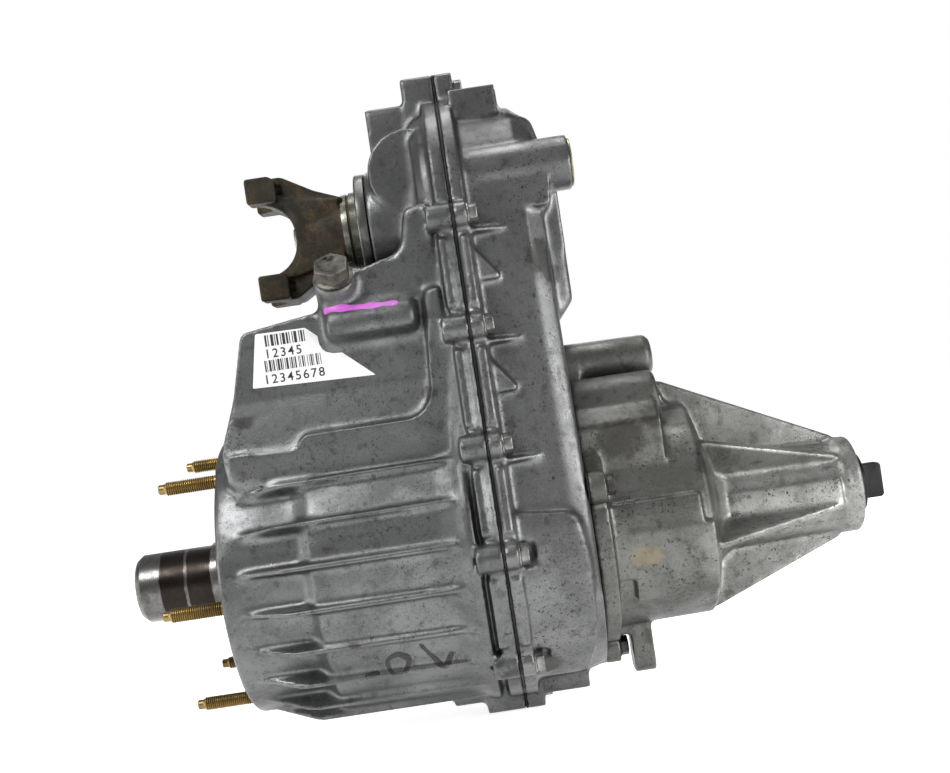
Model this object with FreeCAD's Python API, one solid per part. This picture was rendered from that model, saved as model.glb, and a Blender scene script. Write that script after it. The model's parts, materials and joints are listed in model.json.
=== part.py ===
import FreeCAD, Part
import math
import os
from FreeCAD import Placement, Rotation, Vector

# Two-speed, chain-driven transfer case, in millimetres. The origin is the centre of the face
# that bolts to the gearbox. +X runs back along the main shaft, +Z points at the front output
# shaft and +Y is the side of the shift lever.

# --- clearances -----------------------------------------------------------------------------
RUNNING_FIT = 0.05       # radial, journals and rails in their bores
SEAT_FIT = 0.02          # radial, races, bushes and plugs in their seats
SPLINE_FIT = 0.15        # all round a sliding spline
SIDE_GAP = 0.35          # between turning pieces side by side
THREAD_FIT = 0.05        # radial, shanks in tapped holes
BOLT_CLEARANCE = 0.3     # radial, shanks in through holes

# --- shaft lines and chain ------------------------------------------------------------------
CHAIN_PITCH = 11.1125
STRAND_LINKS = 22
SPROCKET_TEETH = 34
CENTRES = CHAIN_PITCH * STRAND_LINKS
PITCH_RADIUS = CHAIN_PITCH / (2 * math.sin(math.pi / SPROCKET_TEETH))
CHAIN_X = 214.0
CHAIN_WIDTH = 28.0
LINK_BACK = 3.6          # link plate above the pin line
LINK_TOE = 5.4           # link plate below the pin line
SPROCKET_TIP = 1.6       # tooth tip below the pin line
SPROCKET_ROOT = 7.6      # tooth root below the pin line
TOOTH_TIP_HALF = 1.1     # half the width of a sprocket tooth at its tip
CHAIN_ROOM = 6.0         # from the link backs to the case wall

# --- planetary gears ------------------------------------------------------------------------
MODULE = 2.75
SUN_TEETH = 35
PLANET_TEETH = 13
PLANETS = 3
RING_TEETH = SUN_TEETH + 2 * PLANET_TEETH
PRESSURE_ANGLE = math.radians(20.0)
BACKLASH = 0.4
GEAR_X = 60.0
GEAR_WIDTH = 36.0
RING_RADIUS = 98.0
PLATE_THICKNESS = 5.0
PLANET_PIN_RADIUS = 8.0
PLANET_CIRCLE = MODULE * (SUN_TEETH + PLANET_TEETH) / 2

# --- front case -----------------------------------------------------------------------------
DRUM_RADIUS = 103.0
DRUM_STEP_X = 58.0
DRUM_STEP_RUN = 8.0
DRUM_REAR_RADIUS = 111.0
DRUM_END_X = 165.0
RIB_STEP = 15.0
RIB_PHASE = 5.0
RIB_RADIUS = 116.5
RIB_THICKNESS = 3.6
RIB_START_X = 9.0
RIB_FULL_X = 45.0
FRONT_WALL = 12.0
CHAIN_WALL_X = 176.0
WALL = 8.0
SPLIT_X = 195.0
SEALANT = 0.8
CASE_WALL = 6.0
PAN_ROOM = 5.0           # from the ring gear's radius to the chain case wall
CASE_MAIN_RADIUS = RING_RADIUS + PAN_ROOM + CASE_WALL
CASE_FRONT_RADIUS = PITCH_RADIUS + LINK_BACK + CHAIN_ROOM + CASE_WALL
RIM = 9.5                # flange rim beyond the chain case wall
FRONT_RIM_X = 178.0
REAR_RIM_END_X = 205.0
BOLT_RADIUS = 4.0
BOLT_BOSS_RADIUS = 9.5
BOLT_OFFSET = 8.5        # bolt line beyond the chain case wall
BOLT_HEAD_ACROSS = 13.0
BOLT_HEAD_HEIGHT = 7.0
SIDE_BOLT_HEIGHTS = (232.0, 154.0, 72.0, -2.0, -80.0)
TOP_LUG_RISE = 19.5      # top bolt line above the front wall circle
END_LUG_STEP = 4.0       # end lugs beyond the rear rim
STUD_CIRCLE = 93.0
STUD_RADIUS = 5.0
STUD_COUNT = 6
STUD_PHASE = 7.0
STUD_REACH = 42.0
STUD_DEPTH = 22.0
STUD_ROOT_RADIUS = 6.0   # end of the stud in the case
STUD_BOSS_WALL = 5.0
PAD_THICKNESS = 3.0
PAD_GAP = 14.0           # from a side bolt to the flange strips beside it
BULGE_RADIUS = 30.0
BULGE_NEAR_Y = -45.0
BULGE_RISE = 32.0        # centre of the bulge above the front shaft
FRONT_LUG_RISE = 11.0    # small lugs beyond the case wall
END_LUG_RISE = 30.0      # top end lugs beyond the case wall
END_LUG_DROP = 19.0      # bottom end lugs beyond the case wall
END_LUG_HALF = 17.0
FOOT_HALF = 24.0
NEAR_LUG_Y = 44.0

# --- shift block ----------------------------------------------------------------------------
BLOCK_NEAR_Y = -80.0
BLOCK_FAR_Y = 45.0
BLOCK_FOOT_X = 13.0
BLOCK_FRONT_X = 25.0
BLOCK_TOP_FRONT_X = 36.0
BLOCK_TIER_Z = 131.0     # where the block's flat face starts to lean out
BLOCK_BASE_Z = 96.0
BLOCK_TOP_Z = 180.0
RIDGE_NEAR_Y = -95.0
RIDGE_START_X = 97.0
RIDGE_END_X = 160.0
RIDGE_BOTTOM_Z = 158.0
RIDGE_TOP_Z = 188.0
SWEEP_NEAR_Y = -83.0     # web from the ridge up to the front shaft's bulge
SWEEP_FAR_Y = -42.0
SWEEP_X = 155.0
FRAME_NEAR_Y = -90.0     # step round the block's flat face
FRAME_STEP_X = 161.0
FRAME_STEP_Z = 98.0
CHAMBER_NEAR_Y = -66.0
CHAMBER_FAR_Y = 34.0
CHAMBER_START_X = 39.0
CHAMBER_TOP_Z = 172.5
RAIL_RADIUS = 8.0
RAIL_Z = 119.0
RAIL_START_X = 32.0
RAIL_END_X = 318.0
LEVER_X = 107.0
LEVER_Z = 148.0
LEVER_ARM = 34.0
LEVER_SWING = math.radians(22.9)
LEVER_EYE_RADIUS = 5.0
LEVER_LENGTH = 50.0
SHIFT_SHAFT_RADIUS = 9.0
SHIFT_PIN_RADIUS = 5.0
DETENT_RIM = 22.0
DETENT_PLATE_Y = -54.0
DETENT_PLATE = 6.0
DETENT_BORE = 6.2
DETENT_HEAD_ACROSS = 23.0
DETENT_HEAD_HEIGHT = 12.0
DETENT_REACH = 58.0      # from the rim of the detent plate to the plug's face
DETENT_THREAD = 16.0
PLUNGER_LENGTH = 15.0
PLUNGER_GAP = DETENT_PLATE / 2 * math.sqrt(0.5) + SIDE_GAP
SPRING_LENGTH = 30.0
FORK_BLADE = 5.5
RANGE_TRAVEL = 2 * LEVER_ARM * math.sin(LEVER_SWING / 2)
MODE_TRAVEL = 12.0

# --- rear case and extension ----------------------------------------------------------------
HUB_ROOM = 22.0          # from the chain to the rear wall
REAR_FACE_X = CHAIN_X + CHAIN_WIDTH / 2 + HUB_ROOM + WALL
HOUSING_RISE = 14.0      # needle bearing housing beyond the rear face
HOUSING_HALF = 46.0
FILL_PLUG_X = REAR_FACE_X + 24.0
FILL_PLUG_Y = -59.0
FILL_PLUG_Z = CENTRES + 17.5
FILL_BOSS_RADIUS = 19.5
FILL_PLUG_RADIUS = 14.0
PLUG_X = CHAIN_X + 15.0
PLUG_RADIUS = 9.0
PLUG_HEIGHTS = (36.0, -41.0)
VENT_X = CHAIN_X + 10.0
VENT_Y = 30.0
VENT_SINK = 14.0         # start of the vent bore below the case wall
VENT_RADIUS = 4.5
GUSSET_DROP = 20.0       # corner webs under the upper side bolts
GUSSET_HEIGHT = 27.0
GUSSET_RUN = 18.0
PANEL_RISE = 5.0         # near-side panel beyond the case wall
PANEL_TOP_Z = 25.0
PANEL_BOTTOM_Z = -98.0
EXTENSION_FLANGE_RADIUS = 90.0
EXTENSION_FLANGE = 12.0
EXTENSION_BOLT_CIRCLE = 96.0
EXTENSION_BOLT_ANGLES = (20.0, 62.0, 118.0, 160.0, 215.0, 270.0)
BARREL_RADIUS = 80.0
BARREL_END_X = 345.0
TAIL_RADIUS = 35.0
TAIL_END_X = 463.0
FIN_COUNT = 6
FIN_PHASE = 42.0
FIN_THICKNESS = 5.0
FIN_END_X = TAIL_END_X - 16.0
BUSHING_RADIUS = 22.2
BUSHING_WALL = 2.8
BUSHING_X = TAIL_END_X - 45.0
BUSHING_LENGTH = 28.0
TAIL_SEAL_DEPTH = 11.0
SEAL_OUTER = 29.0
SHOULDER_END_X = 318.0   # squared shoulder beside the rail boss
SHOULDER_Y = -72.0
SHOULDER_Z = 87.0
SADDLE_BULGE = 21.0
BAND_RISE = 3.5          # raised band on the barrel
PUMP_X = REAR_FACE_X + 4.0
PUMP_WIDTH = 14.0
PUMP_OPENING = 62.0
PUMP_ROTOR_RADIUS = 32.0
PUMP_RADIUS = 47.5
PICKUP_RADIUS = 4.0
PICKUP_PORT = 40.0
PICKUP_DROP = CASE_MAIN_RADIUS - 29.0
STRAINER_DEPTH = 21.0
TONE_X = 312.0
TONE_WIDTH = 8.0
TONE_RADIUS = 34.0
TONE_TEETH = 20
SENSOR_RADIUS = 8.0
SENSOR_SEAT_Y = 88.0
PLUG_GRIP_HALF = 13.0

# --- shafts, bearings and seals -------------------------------------------------------------
INPUT_TIP_X = -79.5
INPUT_RADIUS = 25.5
INPUT_BORE = 18.5
INPUT_COLLAR_X = -22.0
INPUT_COLLAR_RADIUS = 27.5
INPUT_NECK_RADIUS = 40.0
INPUT_BEARING = (8.0, 18.0, 27.5, 45.0)      # start, width, bore radius, outer radius
OUTPUT_BEARING = (285.0, 18.0, 20.0, 40.0)
BALLS = 8
FRONT_BEARING = (144.5, 17.0, 17.5, 36.0)
FRONT_SEAL_X = 134.0
FRONT_SEAL_WIDTH = 9.0
PILOT_RADIUS = 16.0
MAIN_SPLINE_RADIUS = 22.0
MAIN_SPLINE_COUNT = 12
SPROCKET_JOURNAL = 26.0
MAIN_END_X = 412.0
FRONT_SHAFT_TIP_X = 74.0
FRONT_SHAFT_RADIUS = 20.0
FRONT_JOURNAL = 15.0
FRONT_SHAFT_END_X = REAR_FACE_X + 6.0
NEEDLE_X = REAR_FACE_X - WALL
NEEDLE_OUTER = 21.0
DOG_RADIUS = 33.0
DOG_COUNT = 18
DOG_DEPTH = 2.4
MODE_DOG_RADIUS = 37.0
MAIN_START_X = 46.0
HUB_X = 178.0
HUB_END_X = 199.0
MODE_SLEEVE_X = 182.0
MODE_SLEEVE_END_X = 208.0
MODE_GROOVE_X = 187.0
RANGE_SLEEVE_X = 86.0
RANGE_GROOVE_X = 116.0
GROOVE_DEPTH = 6.0
RANGE_COLLAR_RADIUS = 42.0
MODE_SLEEVE_RADIUS = 47.0

# --- front output yoke ----------------------------------------------------------------------
YOKE_FACE_X = 46.0
YOKE_EAR_OUTER = 45.5
YOKE_EAR_INNER = 26.5
YOKE_EAR_DEPTH = 26.0
YOKE_EAR_HALF_WIDTH = 31.0
YOKE_ARM_HALF_WIDTH = 21.0
YOKE_HUB_X = 113.0
YOKE_HUB_RADIUS = 28.0
SADDLE_RADIUS = 13.5
STRAP_BOLT_OFFSET = 21.0
YOKE_NECK_RADIUS = 22.0
SLINGER_X = 125.0
SLINGER_RADIUS = 42.0
SLINGER_WIDTH = 7.5
FRONT_BOSS_RADIUS = 43.0
FRONT_BOSS_X = 133.0

AXIS_X = Vector(1, 0, 0)
AXIS_Y = Vector(0, 1, 0)
AXIS_Z = Vector(0, 0, 1)
DETENT_AXIS = Vector(0, -math.sqrt(0.5), math.sqrt(0.5))


# --- shapes -----------------------------------------------------------------------------------
def cylinder(x0, x1, radius, y=0.0, z=0.0):
    return Part.makeCylinder(radius, x1 - x0, Vector(x0, y, z), AXIS_X)


def pin(base, axis, length, radius):
    return Part.makeCylinder(radius, length, base, axis)


def ring(x0, x1, outer, inner, y=0.0, z=0.0):
    return cylinder(x0, x1, outer, y, z).cut(cylinder(x0 - 1, x1 + 1, inner, y, z))


def block(x0, x1, y0, y1, z0, z1):
    return Part.makeBox(x1 - x0, y1 - y0, z1 - z0, Vector(x0, y0, z0))


def turned(profile, z=0.0):
    """Solid turned about the line along X at height z, from (x, radius) corners."""
    points = [Vector(x, 0, r) for x, r in profile]
    solid = Part.Face(Part.makePolygon(points + points[:1])).revolve(Vector(), AXIS_X, 360)
    solid.translate(Vector(0, 0, z))
    return solid


def rounded_face(corners, place):
    """Face inside (u, v, radius) corners; place(u, v) gives each point in space."""
    spans = []
    for i, (u, v, radius) in enumerate(corners):
        corner = Vector(u, v, 0)
        before = Vector(corners[i - 1][0], corners[i - 1][1], 0) - corner
        after = Vector(*corners[(i + 1) % len(corners)][:2], 0) - corner
        before.normalize()
        after.normalize()
        if radius <= 0:
            spans.append((corner, None, corner))
            continue
        half = before.getAngle(after) / 2
        bisector = before + after
        bisector.normalize()
        middle = corner + bisector * (radius / math.sin(half) - radius)
        reach = radius / math.tan(half)
        spans.append((corner + before * reach, middle, corner + after * reach))
    edges = []
    for i, (start, middle, end) in enumerate(spans):
        if middle is not None:
            arc = Part.Arc(*[place(p.x, p.y) for p in (start, middle, end)])
            edges.append(arc.toShape())
        following = spans[(i + 1) % len(spans)][0]
        if (following - end).Length > 1e-6:
            edges.append(Part.makeLine(place(end.x, end.y), place(following.x, following.y)))
    return Part.Face(Part.Wire(edges))


def side_plate(corners, y0, y1):
    """Prism along Y over an outline in X and Z."""
    face = rounded_face(corners, lambda u, v: Vector(u, y0, v))
    return face.extrude(Vector(0, y1 - y0, 0))


def end_plate(corners, x0, x1):
    """Prism along X over an outline in Y and Z."""
    face = rounded_face(corners, lambda u, v: Vector(x0, u, v))
    return face.extrude(Vector(x1 - x0, 0, 0))


def belt_face(x, main_radius, front_radius):
    """Outline round both shaft lines: two arcs and their common tangents."""
    lean = math.asin((main_radius - front_radius) / CENTRES)
    low = (main_radius * math.cos(lean), main_radius * math.sin(lean))
    high = (front_radius * math.cos(lean), CENTRES + front_radius * math.sin(lean))
    right_low, right_high = Vector(x, *low), Vector(x, *high)
    left_low, left_high = Vector(x, -low[0], low[1]), Vector(x, -high[0], high[1])
    top = Part.Arc(right_high, Vector(x, 0, CENTRES + front_radius), left_high).toShape()
    bottom = Part.Arc(left_low, Vector(x, 0, -main_radius), right_low).toShape()
    right = Part.makeLine(right_low, right_high)
    left = Part.makeLine(left_high, left_low)
    return Part.Face(Part.Wire([right, top, left, bottom]))


def belt(x0, x1, main_radius, front_radius):
    return belt_face(x0, main_radius, front_radius).extrude(Vector(x1 - x0, 0, 0))


def tapered_belt(x0, main0, front0, x1, main1, front1):
    wires = [belt_face(x0, main0, front0).OuterWire, belt_face(x1, main1, front1).OuterWire]
    return Part.makeLoft(wires, True, True)


def belt_half_width(z, main_radius, front_radius):
    """Half the width of the belt outline at height z."""
    lean = math.asin((main_radius - front_radius) / CENTRES)
    if z < main_radius * math.sin(lean):
        return math.sqrt(main_radius ** 2 - z ** 2)
    if z > CENTRES + front_radius * math.sin(lean):
        return math.sqrt(front_radius ** 2 - (z - CENTRES) ** 2)
    return (main_radius - z * math.sin(lean)) / math.cos(lean)


def hexagon(across, height, base, axis=AXIS_X):
    radius = across / math.sqrt(3)
    corners = [Vector(radius * math.cos(i * math.pi / 3), radius * math.sin(i * math.pi / 3), 0)
               for i in range(7)]
    solid = Part.Face(Part.makePolygon(corners)).extrude(Vector(0, 0, height))
    solid.Placement = Placement(base, Rotation(AXIS_Z, axis))
    return solid


def hex_bolt(seat, axis, across, head_height, shank_radius, shank_length):
    """Flanged hex bolt; axis points from the seat to the top of the head."""
    flange = pin(seat, axis, head_height * 0.25, across * 0.62)
    head = hexagon(across, head_height, seat, axis)
    shank = pin(seat - axis * shank_length, axis, shank_length, shank_radius)
    return shank.fuse([flange, head])


def toothed_face(profile, count, phase=0.0):
    """Face in Y and Z whose edge repeats one tooth's (radius, angle) corners."""
    points = []
    for i in range(count):
        centre = 2 * math.pi * i / count + phase
        for radius, angle in profile:
            turn = centre + angle
            points.append(Vector(0, radius * math.cos(turn), radius * math.sin(turn)))
    return Part.Face(Part.makePolygon(points + points[:1]))


def toothed(x0, x1, profile, count, phase=0.0, z=0.0):
    solid = toothed_face(profile, count, phase).extrude(Vector(x1 - x0, 0, 0))
    solid.translate(Vector(x0, 0, z))
    return solid


def involute_profile(teeth, addendum, dedendum, thickness):
    """(radius, angle) corners of one tooth, from its root round its tip."""
    pitch = MODULE * teeth / 2
    base = pitch * math.cos(PRESSURE_ANGLE)
    root = pitch - dedendum
    tip = pitch + addendum
    start = max(base, root)

    def half_angle(radius):
        pressure = math.acos(min(1.0, base / radius))
        involute = math.tan(PRESSURE_ANGLE) - PRESSURE_ANGLE - math.tan(pressure) + pressure
        return thickness / (2 * pitch) + involute

    flank = [(r, half_angle(r)) for r in (start, (start + tip) / 2, tip)]
    if root < start - 0.01:
        flank.insert(0, (root, flank[0][1]))
    return [(r, -a) for r, a in flank] + [(r, a) for r, a in reversed(flank)]


def spline_profile(tip, depth, count, gap=0.0):
    """Straight-sided spline tooth, larger all round by the gap."""
    root = tip - depth
    half_pitch = math.pi / count
    at_tip = half_pitch * 0.42 + gap / tip
    at_root = half_pitch * 0.55 + gap / root
    return [(root + gap, -at_root), (tip + gap, -at_tip), (tip + gap, at_tip),
            (root + gap, at_root)]


def sprocket_profile():
    """Straight-flanked tooth for an inverted-tooth chain."""
    tip = PITCH_RADIUS - SPROCKET_TIP
    root = PITCH_RADIUS - SPROCKET_ROOT
    at_tip = TOOTH_TIP_HALF / tip
    root_half = TOOTH_TIP_HALF + (tip - root) * math.tan(math.pi / 6)
    return [(root, -root_half / root), (tip, -at_tip), (tip, at_tip), (root, root_half / root)]


def around(make, angles, y=0.0, z=0.0):
    """Copies of one solid turned about the line along X at (y, z)."""
    copies = []
    for angle in angles:
        copy = make.copy()
        copy.rotate(Vector(0, y, z), AXIS_X, angle)
        copies.append(copy)
    return copies


def polar(radius, degrees):
    """(y, z) at an angle measured from -Y towards +Z."""
    angle = math.radians(degrees)
    return -radius * math.cos(angle), radius * math.sin(angle)


# --- shared places ------------------------------------------------------------------------------
def case_bolt_places():
    """(y, z) of the bolts that join the two case halves."""
    main = CASE_MAIN_RADIUS + BOLT_OFFSET
    front = CASE_FRONT_RADIUS + BOLT_OFFSET
    places = []
    for height in SIDE_BOLT_HEIGHTS:
        width = belt_half_width(height, main, front)
        places += [(-width, height), (width, height)]
    places.append((0.0, CENTRES + CASE_FRONT_RADIUS + TOP_LUG_RISE))
    places.append((0.0, -main))
    return places


def bolt_seat(z):
    """X of the face under a case bolt's head; the end lugs stand back from the rim."""
    at_end_lug = z > CENTRES + CASE_FRONT_RADIUS or z < -CASE_MAIN_RADIUS
    return REAR_RIM_END_X + (END_LUG_STEP if at_end_lug else 0)


def stud_places():
    return [polar(STUD_CIRCLE, -STUD_PHASE - i * 360 / STUD_COUNT) for i in range(STUD_COUNT)]


def extension_bolt_places():
    return [polar(EXTENSION_BOLT_CIRCLE, a) for a in EXTENSION_BOLT_ANGLES]


def vent_base():
    """Foot of the vent's bore, inside the wall over the front shaft."""
    rise = math.sqrt(CASE_FRONT_RADIUS ** 2 - VENT_Y ** 2)
    return Vector(VENT_X, VENT_Y, CENTRES + rise - VENT_SINK)


def detent_point(distance):
    """Point on the detent axis at a distance outward from the rim of the detent plate."""
    rim = Vector(LEVER_X, DETENT_PLATE_Y, LEVER_Z + DETENT_RIM)
    return rim + DETENT_AXIS * distance


# --- case halves --------------------------------------------------------------------------------
def drum_rib():
    """One lengthwise rib of the drum, at -Y."""
    half = RIB_THICKNESS / 2
    foot = DRUM_RADIUS - 4
    corners = [(RIB_START_X, foot, 0), (RIB_START_X, DRUM_RADIUS - 1, 0),
               (RIB_FULL_X, RIB_RADIUS, 20), (CHAIN_WALL_X - 4, RIB_RADIUS, 0),
               (CHAIN_WALL_X + 2, foot, 0)]
    face = rounded_face(corners, lambda u, v: Vector(u, -v, -half))
    return face.extrude(Vector(0, 0, RIB_THICKNESS))


def drum_ribs():
    count = int(360 / RIB_STEP)
    angles = [RIB_PHASE + RIB_STEP * i for i in range(count)]
    clear = [a for a in angles if not 52 < a < 128]
    return around(drum_rib(), [-a for a in clear])


def shift_block():
    """Boss on the drum that holds the shift shaft, rail and detent."""
    low = BLOCK_BASE_Z - 30
    corners = [(BLOCK_FOOT_X, low, 0), (BLOCK_FOOT_X, BLOCK_BASE_Z, 2), (BLOCK_FRONT_X, BLOCK_TIER_Z, 4),
               (BLOCK_TOP_FRONT_X, BLOCK_TOP_Z - 6, 8), (RIDGE_START_X, BLOCK_TOP_Z + 2, 0),
               (CHAIN_WALL_X + 2, BLOCK_TOP_Z + 2, 0), (CHAIN_WALL_X + 2, low, 0)]
    body = side_plate(corners, BLOCK_NEAR_Y, BLOCK_FAR_Y)
    lean = end_plate([(BLOCK_NEAR_Y + 1, BLOCK_TIER_Z, 0), (BLOCK_NEAR_Y - 8, BLOCK_BASE_Z - 6, 3),
                      (BLOCK_NEAR_Y - 8, BLOCK_BASE_Z - 26, 0), (BLOCK_NEAR_Y + 1, BLOCK_BASE_Z - 26, 0)],
                     BLOCK_FOOT_X, CHAIN_WALL_X - 10)
    lean = lean.common(side_plate(corners, BLOCK_NEAR_Y - 12, 0))
    ridge_mid = (RIDGE_BOTTOM_Z + RIDGE_TOP_Z) / 2
    ridge_corners = [(RIDGE_NEAR_Y, RIDGE_BOTTOM_Z + 4, 5), (RIDGE_NEAR_Y, ridge_mid + 4, 10),
                     (BLOCK_NEAR_Y + 8, RIDGE_TOP_Z, 8), (BLOCK_NEAR_Y + 30, RIDGE_TOP_Z, 0),
                     (BLOCK_NEAR_Y + 30, RIDGE_BOTTOM_Z - 12, 0)]
    ridge = end_plate(ridge_corners, RIDGE_START_X, RIDGE_END_X)
    sweep = side_plate([(CHAIN_WALL_X + 2, CENTRES, 0), (SWEEP_X + 6, CENTRES, 0),
                        (SWEEP_X, CENTRES - 30, 14), (LEVER_X + 6, CENTRES - 42, 0),
                        (LEVER_X, RIDGE_TOP_Z - 6, 0), (CHAIN_WALL_X + 2, RIDGE_TOP_Z - 6, 0)],
                       SWEEP_NEAR_Y, SWEEP_FAR_Y)
    frame = side_plate([(CHAIN_WALL_X + 2, RIDGE_TOP_Z - 3, 0), (FRAME_STEP_X + 6, RIDGE_TOP_Z - 3, 0),
                        (FRAME_STEP_X, FRAME_STEP_Z, 20), (DRUM_STEP_X + 14, FRAME_STEP_Z, 3),
                        (DRUM_STEP_X + 5, FRAME_STEP_Z - 10, 3), (BLOCK_FOOT_X + 4, FRAME_STEP_Z - 7, 2),
                        (BLOCK_FOOT_X + 4, FRAME_STEP_Z - 30, 0), (CHAIN_WALL_X + 2, FRAME_STEP_Z - 30, 0)],
                       FRAME_NEAR_Y, BLOCK_NEAR_Y + 20)
    plug_seat = DETENT_REACH - DETENT_HEAD_HEIGHT
    detent_boss = pin(detent_point(2), DETENT_AXIS, plug_seat - 2, DETENT_HEAD_ACROSS * 0.66)
    lever_boss = pin(Vector(LEVER_X, BLOCK_FAR_Y - 1, LEVER_Z), AXIS_Y, 7, SHIFT_SHAFT_RADIUS + 7)
    return body.fuse([lean, ridge, sweep, frame, detent_boss, lever_boss])


def shift_chamber():
    room = block(CHAMBER_START_X, SPLIT_X + 1, CHAMBER_NEAR_Y, CHAMBER_FAR_Y,
                 BLOCK_BASE_Z - 30, CHAMBER_TOP_Z)
    rail_seat = cylinder(RAIL_START_X, CHAMBER_START_X + 1, RAIL_RADIUS + SEAT_FIT, 0, RAIL_Z)
    shaft_bore = pin(Vector(LEVER_X, 0, LEVER_Z), AXIS_Y, 90, SHIFT_SHAFT_RADIUS + RUNNING_FIT)
    detent_bore = pin(detent_point(-4), DETENT_AXIS, DETENT_REACH, DETENT_BORE)
    seat = DETENT_REACH - DETENT_HEAD_HEIGHT
    thread = pin(detent_point(seat - DETENT_THREAD), DETENT_AXIS, DETENT_THREAD + 4,
                 DETENT_BORE + 3 + THREAD_FIT)
    return [room, rail_seat, shaft_bore, detent_bore, thread]


def top_lugs(x0, x1, rise, half_width):
    """Lug over the front shaft line; rise is measured from the case wall."""
    top = CENTRES + CASE_FRONT_RADIUS + rise
    return end_plate([(-half_width, top - 36, 0), (-half_width + 1, top, 4), (half_width - 1, top, 4),
                      (half_width, top - 36, 0)], x0, x1)


def bottom_lugs(x0, x1, drop, half_width):
    """Foot under the main shaft line; drop is measured from the case wall."""
    low = -CASE_MAIN_RADIUS - drop
    return end_plate([(-half_width, low + 30, 0), (-half_width + 2, low, 4), (half_width - 2, low, 4),
                      (half_width, low + 30, 0)], x0, x1)


def bolt_bosses(x0, x1):
    return [cylinder(x0, x1, BOLT_BOSS_RADIUS, y, z) for y, z in case_bolt_places()]


def side_pads(x0, x1):
    """Raised strips along both sides of the flange, between the bolts."""
    pads = []
    rim = RIM + PAD_THICKNESS
    for upper, lower in zip(SIDE_BOLT_HEIGHTS, SIDE_BOLT_HEIGHTS[1:]):
        low, high = lower + PAD_GAP, upper - PAD_GAP
        near, far = [belt_half_width(z, CASE_MAIN_RADIUS + rim, CASE_FRONT_RADIUS + rim) for z in (low,
                                                                                                   high)]
        for side in (-1, 1):
            corners = [(side * (near - rim), low, 0), (side * near, low, PAD_THICKNESS),
                       (side * far, high, PAD_THICKNESS), (side * (far - rim), high, 0)]
            pads.append(end_plate(corners, x0, x1))
    return pads


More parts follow.
